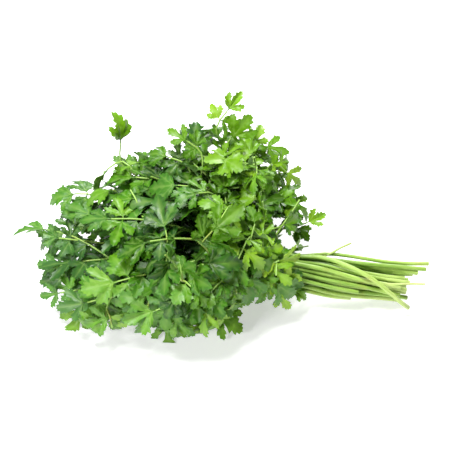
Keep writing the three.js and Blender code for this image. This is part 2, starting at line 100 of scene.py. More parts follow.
# Bare side stalks on the bundle: which stem each grows from, where along it, and where it ends.
BARE_STALKS = [
    (29, 80, vec(101, 10, 49)),
    (27, 126, vec(158, -16, 29)),
]
CUT_END_RADIUS, NECK_STALK_RADIUS, FORK_RADIUS = 1.85, 1.65, 1.25
STALK_THICKNESS = (0.82, 1.08)

# The head's section at stations along X: x, the middle's y and z, and its half-widths across and upwards.
HEAD = np.array([
    (-152, 4, 38, 16, 14),
    (-139, 4, 38, 52, 34),
    (-107, 4, 42, 78, 42),
    (-76, 8, 52, 84, 47),
    (-45, 8, 56, 98, 54),
    (-14, 12, 59, 102, 59),
    (17, 30, 62, 82, 54),
    (49, 27, 54, 64, 42),
    (64, 16, 44, 42, 30),
], float)
FIRST_TIP, LAST_TIP = -117, 20
TIP_SPACING, TIP_SHIFT = 0.8, 6
TIP_DEPTH = 0.8
TIP_DEPTH_SHARE = (0.86, 1.1)
LOWEST_TIP = 7
TIP_DROOP = 0.45
BRANCH_DROOP = 0.7
JOINT_DEPTH = 0.97
LEAF_DEPTH = 1.1
NECK_RUN, NECK_PULL = 20, 0.3
FORK_BACK, EARLIEST_FORK, FORK_OVERLAP = 42, 0.4, 0.02
BRANCH_HALF = 0.72
BRANCH_LENGTH = (23, 47)
BRANCH_ANGLE = radians(55)
BRANCH_RISE = (0.25, 0.4)
BRANCH_BACK, BRANCH_APART = 0.03, 0.02
LOWEST_JOINT = 2.5
PROBE_AHEAD, PROBE_ASIDE = 20, 12
LEAF_FOOT = 2.2
LEAF_STALK = 9
LEAF_LENGTH = 27
LEAF_SIZES = (0.92, 1.08)
LEAF_SHRINK = 0.25
SIDE_LEAF_SHARE = 0.84
LEAF_ANGLE = radians(70)
# How far a leaflet is turned, pitched and rolled at random, in degrees: at rest, and how much further where
# it has to look for room.
TURN, PITCH, ROLL = (8, 25), (12, 26), (20, 40)
MIDDLE_PITCH = -4
TABLE_SINK = 0.15
LEAF_HALF = [(0.34, 0.28), (0.7, 0.47), (0.64, 0.17)]
RIB_POINT = (0.52, 0)

# Gaps between the sprigs, as lines along the camera's view that no leaf crosses: where each starts, how long
# it is, and its reach. The first three are hollows in the front. The others go right through the thin edge at
# the neck's side.
GAP_RUN = vec(0, 0.777, -0.629)
GAPS = [
    ((-27, -37, 108), 46, 6.5),
    ((-27, -54, 99), 46, 6.5),
    ((-101, -20, 80), 34, 6),
    ((50, -30, 85), 120, 6),
    ((42, -10, 88), 110, 3.5),
    ((44, 0, 122), 90, 3),
    ((33, 10, 130), 90, 3.5),
    ((-10, 20, 139), 100, 4.5),
    ((-40, 20, 138), 100, 5),
]
NOBODY = 99

# Sprigs that stand out of the head: where each forks, where it points, the way it faces, its size, and True
# where it has its end leaflet alone.
STRAYS = [
    ((-2, 75, 121), (0.5, 0.2, 0.6), (0, -1, 0.4), 0.7),
    ((-81, 60, 99), (0.1, 0.3, 1), (1, -0.5, 0), 0.95, True),
    ((-126, -2, 70), (-1, 0, 0.25), (0.1, 0.1, 1), 1.05, True),
    ((-84, 50, 97), (-0.8, 0, -0.7), (-0.54, 0.5, 0.62), 1, True),
    ((24, 70, 100), (1, 0, -0.1), (0, -0.6, 0.8), 0.9),
    ((44, 56, 92), (0.6, -0.1, -0.7), (0.5, -0.6, 0.6), 0.8),
    ((47, 46, 70), (0.7, -0.1, -0.6), (0.5, -0.7, 0.6), 0.95),
    ((2, 66, 102), (0.3, 0, 0.5), (0.2, -0.8, 0.6), 1),
    ((58, 28, 51), (0.95, 0.1, 0.35), (0, -0.7, 0.7), 0.65),
    ((-66, 56, 78), (-0.5, 0.1, 0.4), (0, -1, 0.7), 0.7),
    ((-46, 58, 88), (0.1, 0.3, 0.5), (0, -1, 0.5), 0.7),
    ((-26, 56, 93), (0.1, 0.3, 0.4), (0.1, -0.8, 0.7), 0.9),
    ((-106, 38, 76), (-1, -0.1, 0.1), (0, -0.6, 0.8), 0.95),
    ((-112, 6, 66), (-1, -0.2, -0.1), (0, -0.5, 0.9), 0.95),
    ((-112, -16, 38), (-1, -0.2, -0.1), (-0.2, -0.7, 0.7), 0.85),
    ((-12, -34, 25), (0.6, -0.4, -0.4), (0.1, -0.8, 0.8), 0.95),
    ((-45, -36, 22), (0.1, -0.6, -0.7), (0, -0.7, 0.7), 0.95),
    ((-106, -20, 20), (-0.3, -0.5, -0.7), (0, -0.7, 0.7), 1),
    ((-30, 58, 20), (0, 0.6, -0.7), (0, 0.7, 0.7), 1),
    ((24, 62, 22), (0.3, 0.5, -0.7), (0.2, 0.7, 0.6), 0.9),
    ((18, -40, 74), (0.05, -0.35, -0.93), (0, -0.8, 0.6), 1.15),
    ((39, -26, 62), (0.35, -0.3, -0.85), (0.1, -0.75, 0.65), 1.05, True),
    ((-13, -42, 96), (0.5, 0.1, 0.6), (0, -0.75, 0.65), 1.2),
]
LEAF_REACH = 2.8
STALK_REACH = 2.2
JOINT_ROOM = 7
TRIES = 80
SHORTEST_STRAY = 18
STRAY_ROOTS = (0.25, 0.45, 0.65, 0.85)
STRAY_UNREST = 0.12

# ---- random numbers and vectors


class Dice:
    """Park and Miller's generator."""

    def __init__(self, seed):
        self.state = seed

    def roll(self):
        self.state = self.state * 48271 % 2147483647
        return self.state / 2147483647

    def between(self, low, high):
        return low + (high - low) * self.roll()

    def about(self, middle, spread):
        return middle + spread * (2 * self.roll() - 1)

    def shake(self, spread):
        return vec(*(self.about(0, spread) for _ in range(3)))


dice = Dice(SEED)


def dot(a, b):
    return a[0] * b[0] + a[1] * b[1] + a[2] * b[2]


def cross(a, b):
    return vec(a[1] * b[2] - a[2] * b[1], a[2] * b[0] - a[0] * b[2], a[0] * b[1] - a[1] * b[0])


def length_of(a):
    return sqrt(dot(a, a))


def unit(a):
    return a * (1 / (length_of(a) or 1))


def mixed(a, b, t):
    return a + (b - a) * t


def square_to(direction, v):
    """v made square to a unit direction, and one long."""
    return unit(v + direction * -dot(v, direction))


def swung(a, b, angle):
    """Unit direction a turned towards b, which is square to it."""
    return a * cos(angle) + b * sin(angle)


def turned(v, axis, angle):
    """v turned about a unit axis, with the arithmetic that the CAD source's library uses."""
    q = axis * sin(angle / 2)
    t = 2 * cross(q, v)
    return v + cos(angle / 2) * t + cross(q, t)


class Bezier:
    """A smooth line that leaves one point along a direction, and arrives at another along another."""

    def __init__(self, start, leaving, end, arriving):
        reach = length_of(end - start) / 3
        self.points = (start, start + leaving * reach, end + arriving * -reach, end)

    def at(self, t):
        a, b, c, d = self.points
        k = 1 - t
        return k * k * k * a + 3 * k * k * t * b + 3 * k * t * t * c + t * t * t * d

    def tangent(self, t):
        return unit(self.at(min(t + 0.0001, 1)) - self.at(max(t - 0.0001, 0)))


# ---- the form of the head


def section(x):
    """The head's section at x: the middle's y and z, and its half-widths."""
    k = np.searchsorted(HEAD[1:-1, 0], x, side="left")
    a, b = HEAD[k], HEAD[k + 1]
    t = np.clip((x - a[..., 0]) / (b[..., 0] - a[..., 0]), 0, 1)
    return [a[..., n] + (b[..., n] - a[..., n]) * t for n in (1, 2, 3, 4)]


def depth_at(points):
    """1 on the head's surface, less inside it."""
    x, y, z = np.moveaxis(np.asarray(points), -1, 0)
    mid_y, mid_z, wide, high = section(x)
    depth = np.hypot((y - mid_y) / wide, (z - mid_z) / high)
    return np.where((x < HEAD[0, 0]) | (x > HEAD[-1, 0]), inf, depth)


OUTWARD_LIFT = 0.004
LAID_BY = 0.85


def outward_at(p):
    """Away from the head's middle line, and a little upwards."""
    mid_y, mid_z, wide, high = section(p[0])
    return unit(vec(0, (p[1] - mid_y) / wide**2, (p[2] - mid_z) / high**2 + OUTWARD_LIFT))


def laid(direction, outward):
    """A direction bent back towards the head's surface, as its sprigs are."""
    return unit(direction + outward * (-LAID_BY * dot(direction, outward)))


# ---- room

# A grid of one-millimetre cells over the bunch. Each holds which stem and which leaflet come near it.
ROOM_LOW = vec(-180, -125, -6)
ROOM_SIZE = (360, 260, 170)
SEVERAL = -1
LINE_STEP = 1.5
near_stem = np.zeros(ROOM_SIZE, np.int16)
near_leaf = np.zeros(ROOM_SIZE, np.int16)


@cache
def ball(reach):
    """The steps from a cell to the cells that are within reach of it."""
    span = np.arange(-ceil(reach), ceil(reach) + 1)
    steps = np.stack(np.meshgrid(span, span, span, indexing="ij"), -1).reshape(-1, 3)
    return steps[(steps**2).sum(1) <= reach * reach]


def cells_of(points):
    return np.floor(np.asarray(points) - ROOM_LOW).astype(int)


def cells_near(points, reach):
    cells = (cells_of(points)[:, None] + ball(reach)[None]).reshape(-1, 3)
    return np.unique(np.ravel_multi_index(cells.T, ROOM_SIZE, mode="clip"))


def take(grid, cells, owner):
    held = grid.flat[cells]
    grid.flat[cells] = np.where((held == 0) | (held == owner), owner, SEVERAL)


def mark(points, reach, stem, leaf):
    cells = cells_near(points, reach)
    take(near_stem, cells, stem)
    if leaf:
        take(near_leaf, cells, leaf)


def clear(points, stem, joint):
    """Whether points are near no other stem, and near no leaflet except round the joint they grow from."""
    cells = tuple(cells_of(points).T)
    stems_here = near_stem[cells]
    if np.any((stems_here != 0) & (stems_here != stem)):
        return False
    far = np.linalg.norm(points - joint, axis=1) >= JOINT_ROOM
    return not np.any((near_leaf[cells] != 0) & far)


def along(line):
    """Points close together along a line."""
    points = []
    for a, b in zip(line, line[1:]):
        n = ceil(length_of(b - a) / LINE_STEP)
        points += [mixed(a, b, m / n) for m in range(n)]
    return np.array([*points, line[-1]])


# ---- leaflets

LEAF_OUTLINE = np.array([(0, 0), *[(u, -v) for u, v in LEAF_HALF], (1, 0), *LEAF_HALF[::-1]], float)
FAN_STEPS = 6
FAN = np.array([(m, n) for m in range(FAN_STEPS + 1) for n in range(FAN_STEPS + 1 - m)]) / FAN_STEPS


def leaf_points(leaf, u, v):
    """Points of the solid blade's middle surface, at arrays u along the rib and v to its left."""
    lift = leaf.fold * np.abs(v) - leaf.droop * u * u + leaf.skew * u * v
    size = leaf.length
    points = leaf.base + np.multiply.outer(u * size, leaf.along)
    points = points + np.multiply.outer(v * size, leaf.across)
    points = points + np.multiply.outer(lift * size, leaf.normal)
    points[..., 2] = np.maximum(points[..., 2], TABLE_SINK)
    return points


def leaf_samples(leaf):
    """Points all over the solid blade."""
    outline = leaf_points(leaf, LEAF_OUTLINE[:, 0], LEAF_OUTLINE[:, 1])
    rib = leaf_points(leaf, np.array(RIB_POINT[0]), np.array(RIB_POINT[1]))
    to_a = outline - rib
    to_b = np.roll(outline, -1, 0) - rib
    samples = rib + to_a[:, None] * FAN[None, :, :1] + to_b[:, None] * FAN[None, :, 1:]
    return samples.reshape(-1, 3)


def leaf_of(base, direction, normal, angle, length, unrest, dice):
    """A leaflet: where its foot is, the way it lies, its size and the form of its blade."""
    turn, pitch, roll = (rest + more * unrest for rest, more in (TURN, PITCH, ROLL))
    turn = angle + radians(dice.about(0, turn))
    run = swung(direction, unit(cross(normal, direction)), turn)
    pitch = radians(dice.about(MIDDLE_PITCH, pitch))
    ahead = turned(run, unit(cross(run, normal)), pitch)
    roll = radians(dice.about(0, roll))
    side = unit(cross(turned(normal, ahead, roll), ahead))
    return SimpleNamespace(
        base=base,
        along=ahead,
        across=side,
        normal=cross(ahead, side),
        length=length * (1 - LEAF_SHRINK * unrest) * dice.between(*LEAF_SIZES),
        fold=dice.about(0.06, 0.22),
        droop=dice.about(0.12, 0.14),
        skew=dice.about(0, 0.2),
    )


leaf_count = 0


def grow_leaf(stem, direction, normal, limit, base, angle, length):
    """A leaflet turned until it lies clear of everything that is already there, if it can."""
    global leaf_count
    for n in range(TRIES):
        leaf = leaf_of(base, direction, normal, angle, length, n / TRIES, dice)
        samples = leaf_samples(leaf)
        if not np.all(depth_at(samples) <= limit):
            continue
        if not clear(samples, stem.index, base):
            continue
        leaf_count += 1
        mark(samples, LEAF_REACH, stem.index, leaf_count)
        stem.leaves.append(leaf)
        return True
    return False


# ---- stems and sprigs


def bundle_point(x, place):
    """Where a stem is at x, between the neck and its cut end."""
    angle, out, turn, loose = place
    t = (x - NECK[0]) / (CUT[0] - NECK[0])
    middle = mixed(NECK, CUT, t)
    off = max(0.0, min(1.0, t / LOOSE_BY))
    radius = out * (1 + (loose - 1) * off * off * (3 - 2 * off))
    radius = radius * (NECK_RADIUS + (CUT_RADIUS - NECK_RADIUS) * t)
    around = angle + BUNDLE_TWIST * t + turn * max(0.0, t) ** TURN_POWER
    return vec(x, middle[1] + radius * cos(around), middle[2] + radius * sin(around))


def tip_of(angle, share):
    """Where a stem ends: the inner ones far on and deep in the head, the outer ones near its surface."""
    x = FIRST_TIP + (LAST_TIP - FIRST_TIP) * share**TIP_SPACING + dice.about(0, TIP_SHIFT)
    mid_y, mid_z, wide, high = section(x)
    out = TIP_DEPTH * min(1, 2.2 * sqrt(share)) * dice.between(*TIP_DEPTH_SHARE)
    z = mid_z + out * high * sin(angle)
    return vec(x, mid_y + out * wide * cos(angle), max(z, LOWEST_TIP))


def seen_height(angle, out):
    """How high a stem lies in the bundle at its cut end, as the camera sees it."""
    at_cut = angle + BUNDLE_TWIST
    return out * (SEEN_UP[1] * sin(at_cut) + SEEN_UP[0] * cos(at_cut))


def sprig_places(end, joint, length):
    """A sprig's three leaflets: where each grows, its angle and its length."""
    side = length * SIDE_LEAF_SHARE
    return [(end, 0, length), (joint, LEAF_ANGLE, side), (joint, -LEAF_ANGLE, side)]


class Branch:
    """A stalk that arches from its root to its side leaflets' joint, and on to its end one."""

    def __init__(self, root, leaving, joint, direction):
        self.arch = Bezier(root, leaving, joint, direction)
        self.line = [
            root,
            self.arch.at(0.5),
            joint + direction * (-LEAF_FOOT / 2),
            joint + direction * (LEAF_FOOT / 2),
            joint + direction * LEAF_STALK,
        ]
        for p in self.line:
            p[2] = max(p[2], BRANCH_HALF + TABLE_SINK)


def stem_at(index):
    """One leafy stem, without its sprigs: its place in the bundle, its line, and its size."""
    share = (index + 0.5) / STEMS
    angle = index * GOLDEN_ANGLE
    out = sqrt(share)
    longer = LONG_STEM if seen_height(angle, out) > LONG_ABOVE else 0
    cut_x = CUT[0] + dice.about(0, CUT_SPREAD) + longer
    place = (angle, out, 0, 1)
    if index in LOOSE_STEMS:
        turn, loose, cut_x = LOOSE_STEMS[index]
        place = (angle, out, turn, loose)
    thickness = dice.between(*STALK_THICKNESS)
    tip = tip_of(angle, share)
    neck = bundle_point(NECK[0], place)
    leaving = unit(neck - bundle_point(NECK[0] + NECK_RUN, place))
    toward_tip = unit(tip - neck) + leaving * NECK_PULL
    outer = Bezier(neck, leaving, tip, laid(toward_tip + UP * -TIP_DROOP, outward_at(tip)))
    fork = max(EARLIEST_FORK, 1 - FORK_BACK / length_of(neck - tip))
    steps = LOOSE_STEPS if place[2] else BUNDLE_STEPS
    bundled = [bundle_point(cut_x + (NECK[0] - cut_x) * n / steps, place) for n in range(steps)]
    free = [outer.at(t * fork) for t in (0, 0.2, 0.4, 0.6, 0.8, 1)]
    return SimpleNamespace(
        index=index + 1,
        place=place,
        cut_x=cut_x,
        thickness=thickness,
        tip=tip,
        outer=outer,
        fork=fork,
        line=[*bundled, *free],
        end=Branch(outer.at(fork - FORK_OVERLAP), outer.tangent(fork), tip, outer.tangent(1)),
        branches=[],
        bare=[],
        leaves=[],
    )


def grow_sprig(stem, branch, outward, size=1.0, single=False, limit=LEAF_DEPTH, unrest=0.35):
    foot, beyond, end = branch.line[-3:]
    direction = unit(end - beyond)
    normal = square_to(direction, outward + dice.shake(unrest))
    places = sprig_places(end, mixed(foot, beyond, 0.5), LEAF_LENGTH * size)
    grown = False
    for place in places[:1] if single else places:
        grown |= grow_leaf(stem, direction, normal, limit, *place)
    if grown and branch is not stem.end:
        stem.branches.append(branch)


def try_branch(stem, branch, probes, outward, **options):
    stalk = along(branch.line)[2:]
    if not clear(np.array([*stalk, *probes]), stem.index, branch.line[0]):
        return False
    mark(stalk, BRANCH_HALF + STALK_REACH, stem.index, 0)
    grow_sprig(stem, branch, outward, **options)
    return True


def grow_branch(stem, side):
    """A branch with a sprig from near the stem's fork, on one side of it."""
    outer, fork = stem.outer, stem.fork
    root = outer.at(fork - BRANCH_BACK - BRANCH_APART * side)
    run = outer.tangent(fork)
    outward = outward_at(stem.tip)
    across = unit(cross(outward, run)) * side
    for _ in range(TRIES):
        angle = BRANCH_ANGLE + radians(dice.about(35 * stem.index / STEMS, 25))
        length = dice.between(*BRANCH_LENGTH)
        direction = unit(swung(run, across, angle) + outward * dice.about(*BRANCH_RISE))
        joint = root + direction * length
        joint[2] = max(joint[2], LOWEST_JOINT)
        if depth_at(joint) > JOINT_DEPTH:
            continue
        here = outward_at(joint)
        arriving = laid(direction + UP * -BRANCH_DROOP, here)
        spread = unit(cross(here, arriving))
        ahead, aside = arriving * PROBE_AHEAD, spread * PROBE_ASIDE
        probes = [joint + ahead, joint + aside, joint - aside]
        leaving = unit(mixed(run, direction, 0.5))
        if try_branch(stem, Branch(root, leaving, joint, arriving), probes, here):
            return


def roots_for(at, shares, shortest):
    """Places on the stems' outer parts that a sprig at a point can grow from, the nearest first."""
    roots = []
    for stem in stems:
        for share in shares:
            t = share * stem.fork
            root = stem.outer.at(t)
            roots.append((length_of(root - at), stem, root, stem.outer.tangent(t)))
    roots.sort(key=lambda row: row[0])
    return [row[1:] for row in roots if row[0] >= shortest]


def grow_stray(at, toward, facing, size, single=False):
    options = {"size": size, "single": single, "limit": inf, "unrest": STRAY_UNREST}
    for stem, root, leaving in roots_for(vec(*at), STRAY_ROOTS, SHORTEST_STRAY):
        branch = Branch(root, leaving, vec(*at), unit(vec(*toward)))
        if try_branch(stem, branch, [], unit(vec(*facing)), **options):
            return


def gap_line(start, length):
    return along([vec(*start), vec(*start) + GAP_RUN * length])


stems = [stem_at(index) for index in range(STEMS)]
for stem in stems:
    mark(along(stem.line), NECK_STALK_RADIUS + STALK_REACH, stem.index, 0)
    mark(along(stem.end.line), BRANCH_HALF + STALK_REACH, stem.index, 0)
for start, length, reach in GAPS:
    mark(gap_line(start, length), reach, NOBODY, 0)
for index, x, end in BARE_STALKS:
    stem = stems[index]
    root = bundle_point(x, stem.place)
    run = unit(end - root)
    bare = Branch(root, unit(bundle_point(x + 1, stem.place) - root), end - run * LEAF_STALK, run)
    stem.bare.append(bare)
    mark(along(bare.line)[2:], BRANCH_HALF + STALK_REACH, stem.index, 0)
for stray in STRAYS:
    grow_stray(*stray)
for stem in stems:
    grow_sprig(stem, stem.end, outward_at(stem.tip))
for stem in stems:
    if stem.index % 2 == 0:
        grow_branch(stem, -1)
    grow_branch(stem, 1)

# ---- more sprigs, to fill the head

# The finer bunch has room for sprigs between the solid ones. They grow from the same stalks, and keep clear
# of what is there already, apart from a few points.
FILL_ROUNDS = 11
FILL_TRIES, FILL_LEAF_TRIES = 14, 26
FILL_UNREST = 1.3
LOWEST_FILL = 3
FILL_DEPTH, FILL_JOINT_DEPTH = 1.12, 0.93
FILL_SIZE = (0.7, 1.1)
FILL_LEAN = (28, 75)  # degrees away from the stalk that the sprig grows from
FILL_DROOP = 1.4
FILL_LAID = (0.2, 0.9)
FILL_UP, FILL_SHAKE = 0.4, 0.75  # how far its leaflets turn up, and every way, from facing outwards
ON_BRANCH_CHANCE = 0.5
ON_ARCH, FROM_ARCH = (0.35, 0.85), (8, 22)  # where a sprig grows on a branch, and how long its stalk is there
ON_STEM, FROM_STEM = (0.4, 1), (12, 42)
LEAF_CROWDED, STALK_CROWDED = 0.1, 0.2  # the largest share of its points that may be near something else
PAIRS_AT = (0.45, 0.75)
PAIR_SIZE = (0.5, 0.8)
PAIR_UP, PAIR_SHAKE = 0.2, 0.3
PAIR_ANGLE = radians(62)
FOOT_REACH = 4  # a leaflet's points this near its foot may be near something else
LEAF_ROOM, STALK_ROOM = 1.5, 1.2
HOLLOWS = 3
HOLLOW_EDGE, GAP_EDGE = 4.5, 1.8  # how much further from the gaps these sprigs keep than the solid ones

BOX_LOW, BOX_HIGH = (np.array(corner) * 1000 + MIDDLE for corner in CAD_BOX)

fill_dice = Dice(907)
taken = np.zeros(ROOM_SIZE, bool)


def fill_room(points, reach):
    taken.flat[cells_near(points, reach)] = True


def share_taken(points, base):
    """The share of the points that are near something, leaving out the ones round their foot."""
    apart = np.linalg.norm(points - base, axis=1) > FOOT_REACH
    return np.mean(taken[tuple(cells_of(points).T)] & apart)


def fill_leaf(stem, direction, normal, base, angle, length):
    """One more leaflet, if there is room for it. Gives back points on it, or None."""
    for n in range(FILL_LEAF_TRIES):
        unrest = FILL_UNREST * n / FILL_LEAF_TRIES
        leaf = leaf_of(base, direction, normal, angle, length, unrest, fill_dice)
        samples = leaf_samples(leaf)
        if np.max(depth_at(samples)) > FILL_DEPTH or share_taken(samples, base) > LEAF_CROWDED:
            continue
        if np.any(samples < BOX_LOW) or np.any(samples > BOX_HIGH):
            continue
        stem.leaves.append(leaf)
        return samples
    return None


def fill_sprig(stem):
    """A small sprig from somewhere along the stem's outer part, or along one of its branches."""
    d = fill_dice
    for _ in range(FILL_TRIES):
        if d.roll() < ON_BRANCH_CHANCE:
            carriers = [stem.end, *stem.branches]
            arch = carriers[int(d.roll() * len(carriers))].arch
            t = d.between(*ON_ARCH)
            reach = d.between(*FROM_ARCH)
        else:
            arch = stem.outer
            t = stem.fork * d.between(*ON_STEM)
            reach = d.between(*FROM_STEM)
        root, run = arch.at(t), arch.tangent(t)
        here = outward_at(root)
        aside = unit(cross(here, run))
        spin = d.between(0, 2 * pi)
        lean = radians(d.between(*FILL_LEAN))
        around = swung(aside, unit(cross(aside, run)), spin)
        direction = swung(run, around, lean)
        joint = root + direction * reach
        if joint[2] < LOWEST_FILL or depth_at(joint) > FILL_JOINT_DEPTH:
            continue
        outward = outward_at(joint)
        hanging = direction + UP * -FILL_DROOP * max(0.0, 1 - outward[2])
        arriving = unit(hanging + outward * (-d.between(*FILL_LAID) * dot(hanging, outward)))
        branch = Branch(root, unit(mixed(run, direction, 0.5)), joint, arriving)
        stalk = along(branch.line)
        if share_taken(stalk, root) > STALK_CROWDED:
            continue
        normal = square_to(arriving, outward + UP * FILL_UP + d.shake(FILL_SHAKE))
        places = sprig_places(branch.line[-1], joint, LEAF_LENGTH * d.between(*FILL_SIZE))
        grown = [fill_leaf(stem, arriving, normal, *place) for place in places]
        grown = [samples for samples in grown if samples is not None]
        if not grown:
            continue
        stem.branches.append(branch)
        fill_room(np.concatenate(grown), LEAF_ROOM)
        fill_room(stalk, STALK_ROOM)
        return


def fill_pairs(stem):
    """Small leaflets in pairs along the stalks that end in a sprig."""
    d = fill_dice
    for branch in [stem.end, *stem.branches]:
        for t in PAIRS_AT:
            base, run = branch.arch.at(t), branch.arch.tangent(t)
            normal = square_to(run, outward_at(base) + UP * PAIR_UP + d.shake(PAIR_SHAKE))
            for side in (1, -1):
                length = LEAF_LENGTH * d.between(*PAIR_SIZE)
                samples = fill_leaf(stem, run, normal, base, side * PAIR_ANGLE, length)
                if samples is not None:
                    fill_room(samples, LEAF_ROOM)


for k, (start, length, reach) in enumerate(GAPS):
    fill_room(gap_line(start, length), reach + (HOLLOW_EDGE if k < HOLLOWS else GAP_EDGE))
for stem in stems:
    for line in [stem.line, stem.end.line, *(branch.line for branch in stem.branches)]:
        fill_room(along(line), STALK_ROOM)
    for leaf in stem.leaves:
        fill_room(leaf_samples(leaf), LEAF_ROOM)
for stem in stems:
    fill_pairs(stem)
for _ in range(FILL_ROUNDS):
    for stem in stems:
        fill_sprig(stem)

# The last sprigs hang at the head's edge: two below the neck, three on the left, two on top, and a broad one
# on the neck's front. Each has where it forks, where it points, the way it faces, and its size. Unlike the
# others, they are not tested for room, so some come very near to their neighbours or cross them.
EDGE_SPRIGS = [
    ((35, -20, 30), (0.8, -0.2, -0.6), (0, -0.8, 0.6), 0.7),
    ((47, -16, 27), (0.8, 0, -0.4), (0, -0.7, 0.7), 0.5),
    ((-116, -30, 34), (-1, -0.1, -0.1), (-0.1, -0.7, 0.7), 0.7),
    ((-117, -14, 46), (-1, -0.1, 0.1), (-0.1, -0.7, 0.7), 0.7),
    ((-117, -6, 66), (-1, 0, 0.15), (-0.1, -0.7, 0.7), 0.75),
    ((-33, 36, 110), (-0.9, 0.1, 0.3), (0, -0.6, 0.8), 0.85),
    ((-20, 40, 120), (-0.7, 0.1, 0.5), (0, -0.7, 0.7), 0.65),
    ((33, -33, 52), (0.75, -0.15, -0.55), (0, -0.8, 0.6), 1.05),
]
EDGE_ROOTS = (0.1, 0.3, 0.5, 0.7, 0.9)
SHORTEST_EDGE_STALK = 14
EDGE_UNREST = 0.2
edge_dice = Dice(31)


def add_edge_sprig(at, toward, facing, size):
    at, run = vec(*at), unit(vec(*toward))
    stem, root, leaving = roots_for(at, EDGE_ROOTS, SHORTEST_EDGE_STALK)[0]
    branch = Branch(root, leaving, at, run)
    normal = square_to(run, vec(*facing))
    stem.branches.append(branch)
    for base, angle, length in sprig_places(branch.line[-1], at, LEAF_LENGTH * size):
        stem.leaves.append(leaf_of(base, run, normal, angle, length, EDGE_UNREST, edge_dice))


for sprig in EDGE_SPRIGS:
    add_edge_sprig(*sprig)


# ---- blades

# A blade is flat and one long at first, its rib along x. Overlapping lobes make it up: the middle one, and a
# side one and a lower one on each side. Their half-widths and lengths are in the blade's length. Teeth are
# given from a lobe's foot to its tip, as [how far along it, how far out], in the lobe's own size.
MESH_STEP = {True: 0.135, False: 0.3}  # between the mesh's points inside a fine blade, and a plain one
VEIN_STEP = {True: 0.12, False: 0.4}
BLADE_PLANS = 14
PLAIN_DEPTH = 0.77  # a leaflet this deep in the head is only seen between others, and gets a plain blade
EDGE_BULGE = 0.09  # how far an edge between a tooth and a notch swells, as a share of its length
MIDDLE_TEETH = [(0.7, 0.98), (0.86, 0.8), (0.95, 0.4)]
SIDE_TEETH = [(0.52, 0.84), (0.76, 0.97), (0.91, 0.48)]
LOWER_TEETH = [(0.6, 0.82), (0.86, 0.56)]
TOOTH_REACH = (0.84, 1.14)
NOTCH_AT, NOTCH_REACH = (0.05, 0.3), (0.58, 0.8)
MIDDLE_HALF, SIDE_OUTER_HALF, SIDE_INNER_HALF, LOWER_HALF = (0.23, 0.27), (0.19, 0.25), (0.11, 0.15), 0.1
SIDE_REACH, LOWER_REACH = (0.64, 0.76), (0.36, 0.46)
LOWER_LEAN = (13, 21)  # degrees further from the rib than the side lobe


def swollen(a, b, side):
    """A point between a and b, moved outwards from the lobe."""
    run = b - a
    return (a + b) / 2 + np.array((-run[1], run[0])) * EDGE_BULGE * side


def lobe_edge(d, at, teeth, side, fine):
    """One side of a lobe, from its first tooth to its tip, and where each tooth's tip is."""
    tips, edge = [], []
    for k, (s, w) in enumerate(teeth):
        tip = at(s + d.about(0.01, 0.025), side * w * d.between(*TOOTH_REACH))
        beyond = teeth[k + 1] if k + 1 < len(teeth) else (1.0, 0.0)
        notch_s = s + (beyond[0] - s) * d.between(*NOTCH_AT)
        notch_w = (w + beyond[1]) / 2 * d.between(*NOTCH_REACH)
        edge += [tip, at(notch_s, side * notch_w)]
        tips.append((s, tip))
    if not fine:
        return edge, tips
    rounded = []
    for k, (p, q) in enumerate(zip(edge, [*edge[1:], at(1, 0)])):
        rounded += [p, swollen(p, q, side)] if k % 2 else [p]
    return rounded, tips


def lobe(d, start, heading, reach, spreads, foot, teeth, fine):
    """A lobe's outline and its veins, each as [points, strength]."""
    axis = np.array((cos(heading), sin(heading)))
    aside = np.array((-axis[1], axis[0]))

    def at(s, w):
        return start + axis * (s * reach) + aside * (w * spreads[0 if w > 0 else 1])

    strength = 1.0 if heading == 0 else 0.85
    veins = [(finely([at(0.02, 0), at(0.97, 0)], VEIN_STEP[fine]), strength)]
    outline = []
    for side in (-1, 1):
        edge, tips = lobe_edge(d, at, teeth, side, fine)
        edge = [start + axis * (s * reach) + aside * (side * w) for s, w in foot] + edge
        outline += edge if side < 0 else [at(1, 0), *edge[::-1]]
        for s, tip in tips[: len(teeth) - 1 if fine else 0]:
            root = at(max(0.06, s - d.between(0.2, 0.26)), 0)
            veins.append((finely([root, mixed(root, tip, 0.84)], VEIN_STEP[fine]), 0.6))
    return np.array(outline), veins


def blade_lobes(d, fine):
    """The lobes of one blade, each blade's a little different."""
    cut = d.roll()  # 0 for broad lobes close together, 1 for narrow ones that are cut far apart
    narrow = 1.04 - 0.22 * cut + d.about(0, 0.03)
    neck = 0.15 - 0.09 * cut
    foot = [(0.0, 0.02), (0.1, 0.023), (0.2, 0.034 + neck * 0.3), (0.4, neck), (0.55, neck * 1.15 + 0.03)]
    wide = d.between(*MIDDLE_HALF) * narrow
    spreads = (wide, wide * d.between(0.9, 1.1))
    made = [lobe(d, np.zeros(2), 0.0, 1.0, spreads, foot, MIDDLE_TEETH, fine)]
    angle, reach = 38 + 12 * cut + d.about(0, 2), d.between(*SIDE_REACH)
    for side in (1, -1):
        heading = radians(angle + d.about(0, 4)) * side
        spreads = (d.between(*SIDE_OUTER_HALF) * narrow, d.between(*SIDE_INNER_HALF) * narrow)[::side]
        start = np.array((d.about(0.14, 0.02), 0.0))
        foot = [(0.0, 0.03), (0.3, 0.085 * narrow)]
        length = reach * d.between(0.93, 1.07)
        made.append(lobe(d, start, heading, length, spreads, foot, SIDE_TEETH, fine))
        heading = radians(angle + d.between(*LOWER_LEAN)) * side
        foot = [(0.0, 0.02), (0.35, 0.04)]
        length = d.between(*LOWER_REACH) * narrow
        made.append(lobe(d, start, heading, length, (LOWER_HALF, LOWER_HALF), foot, LOWER_TEETH, fine))
    return made


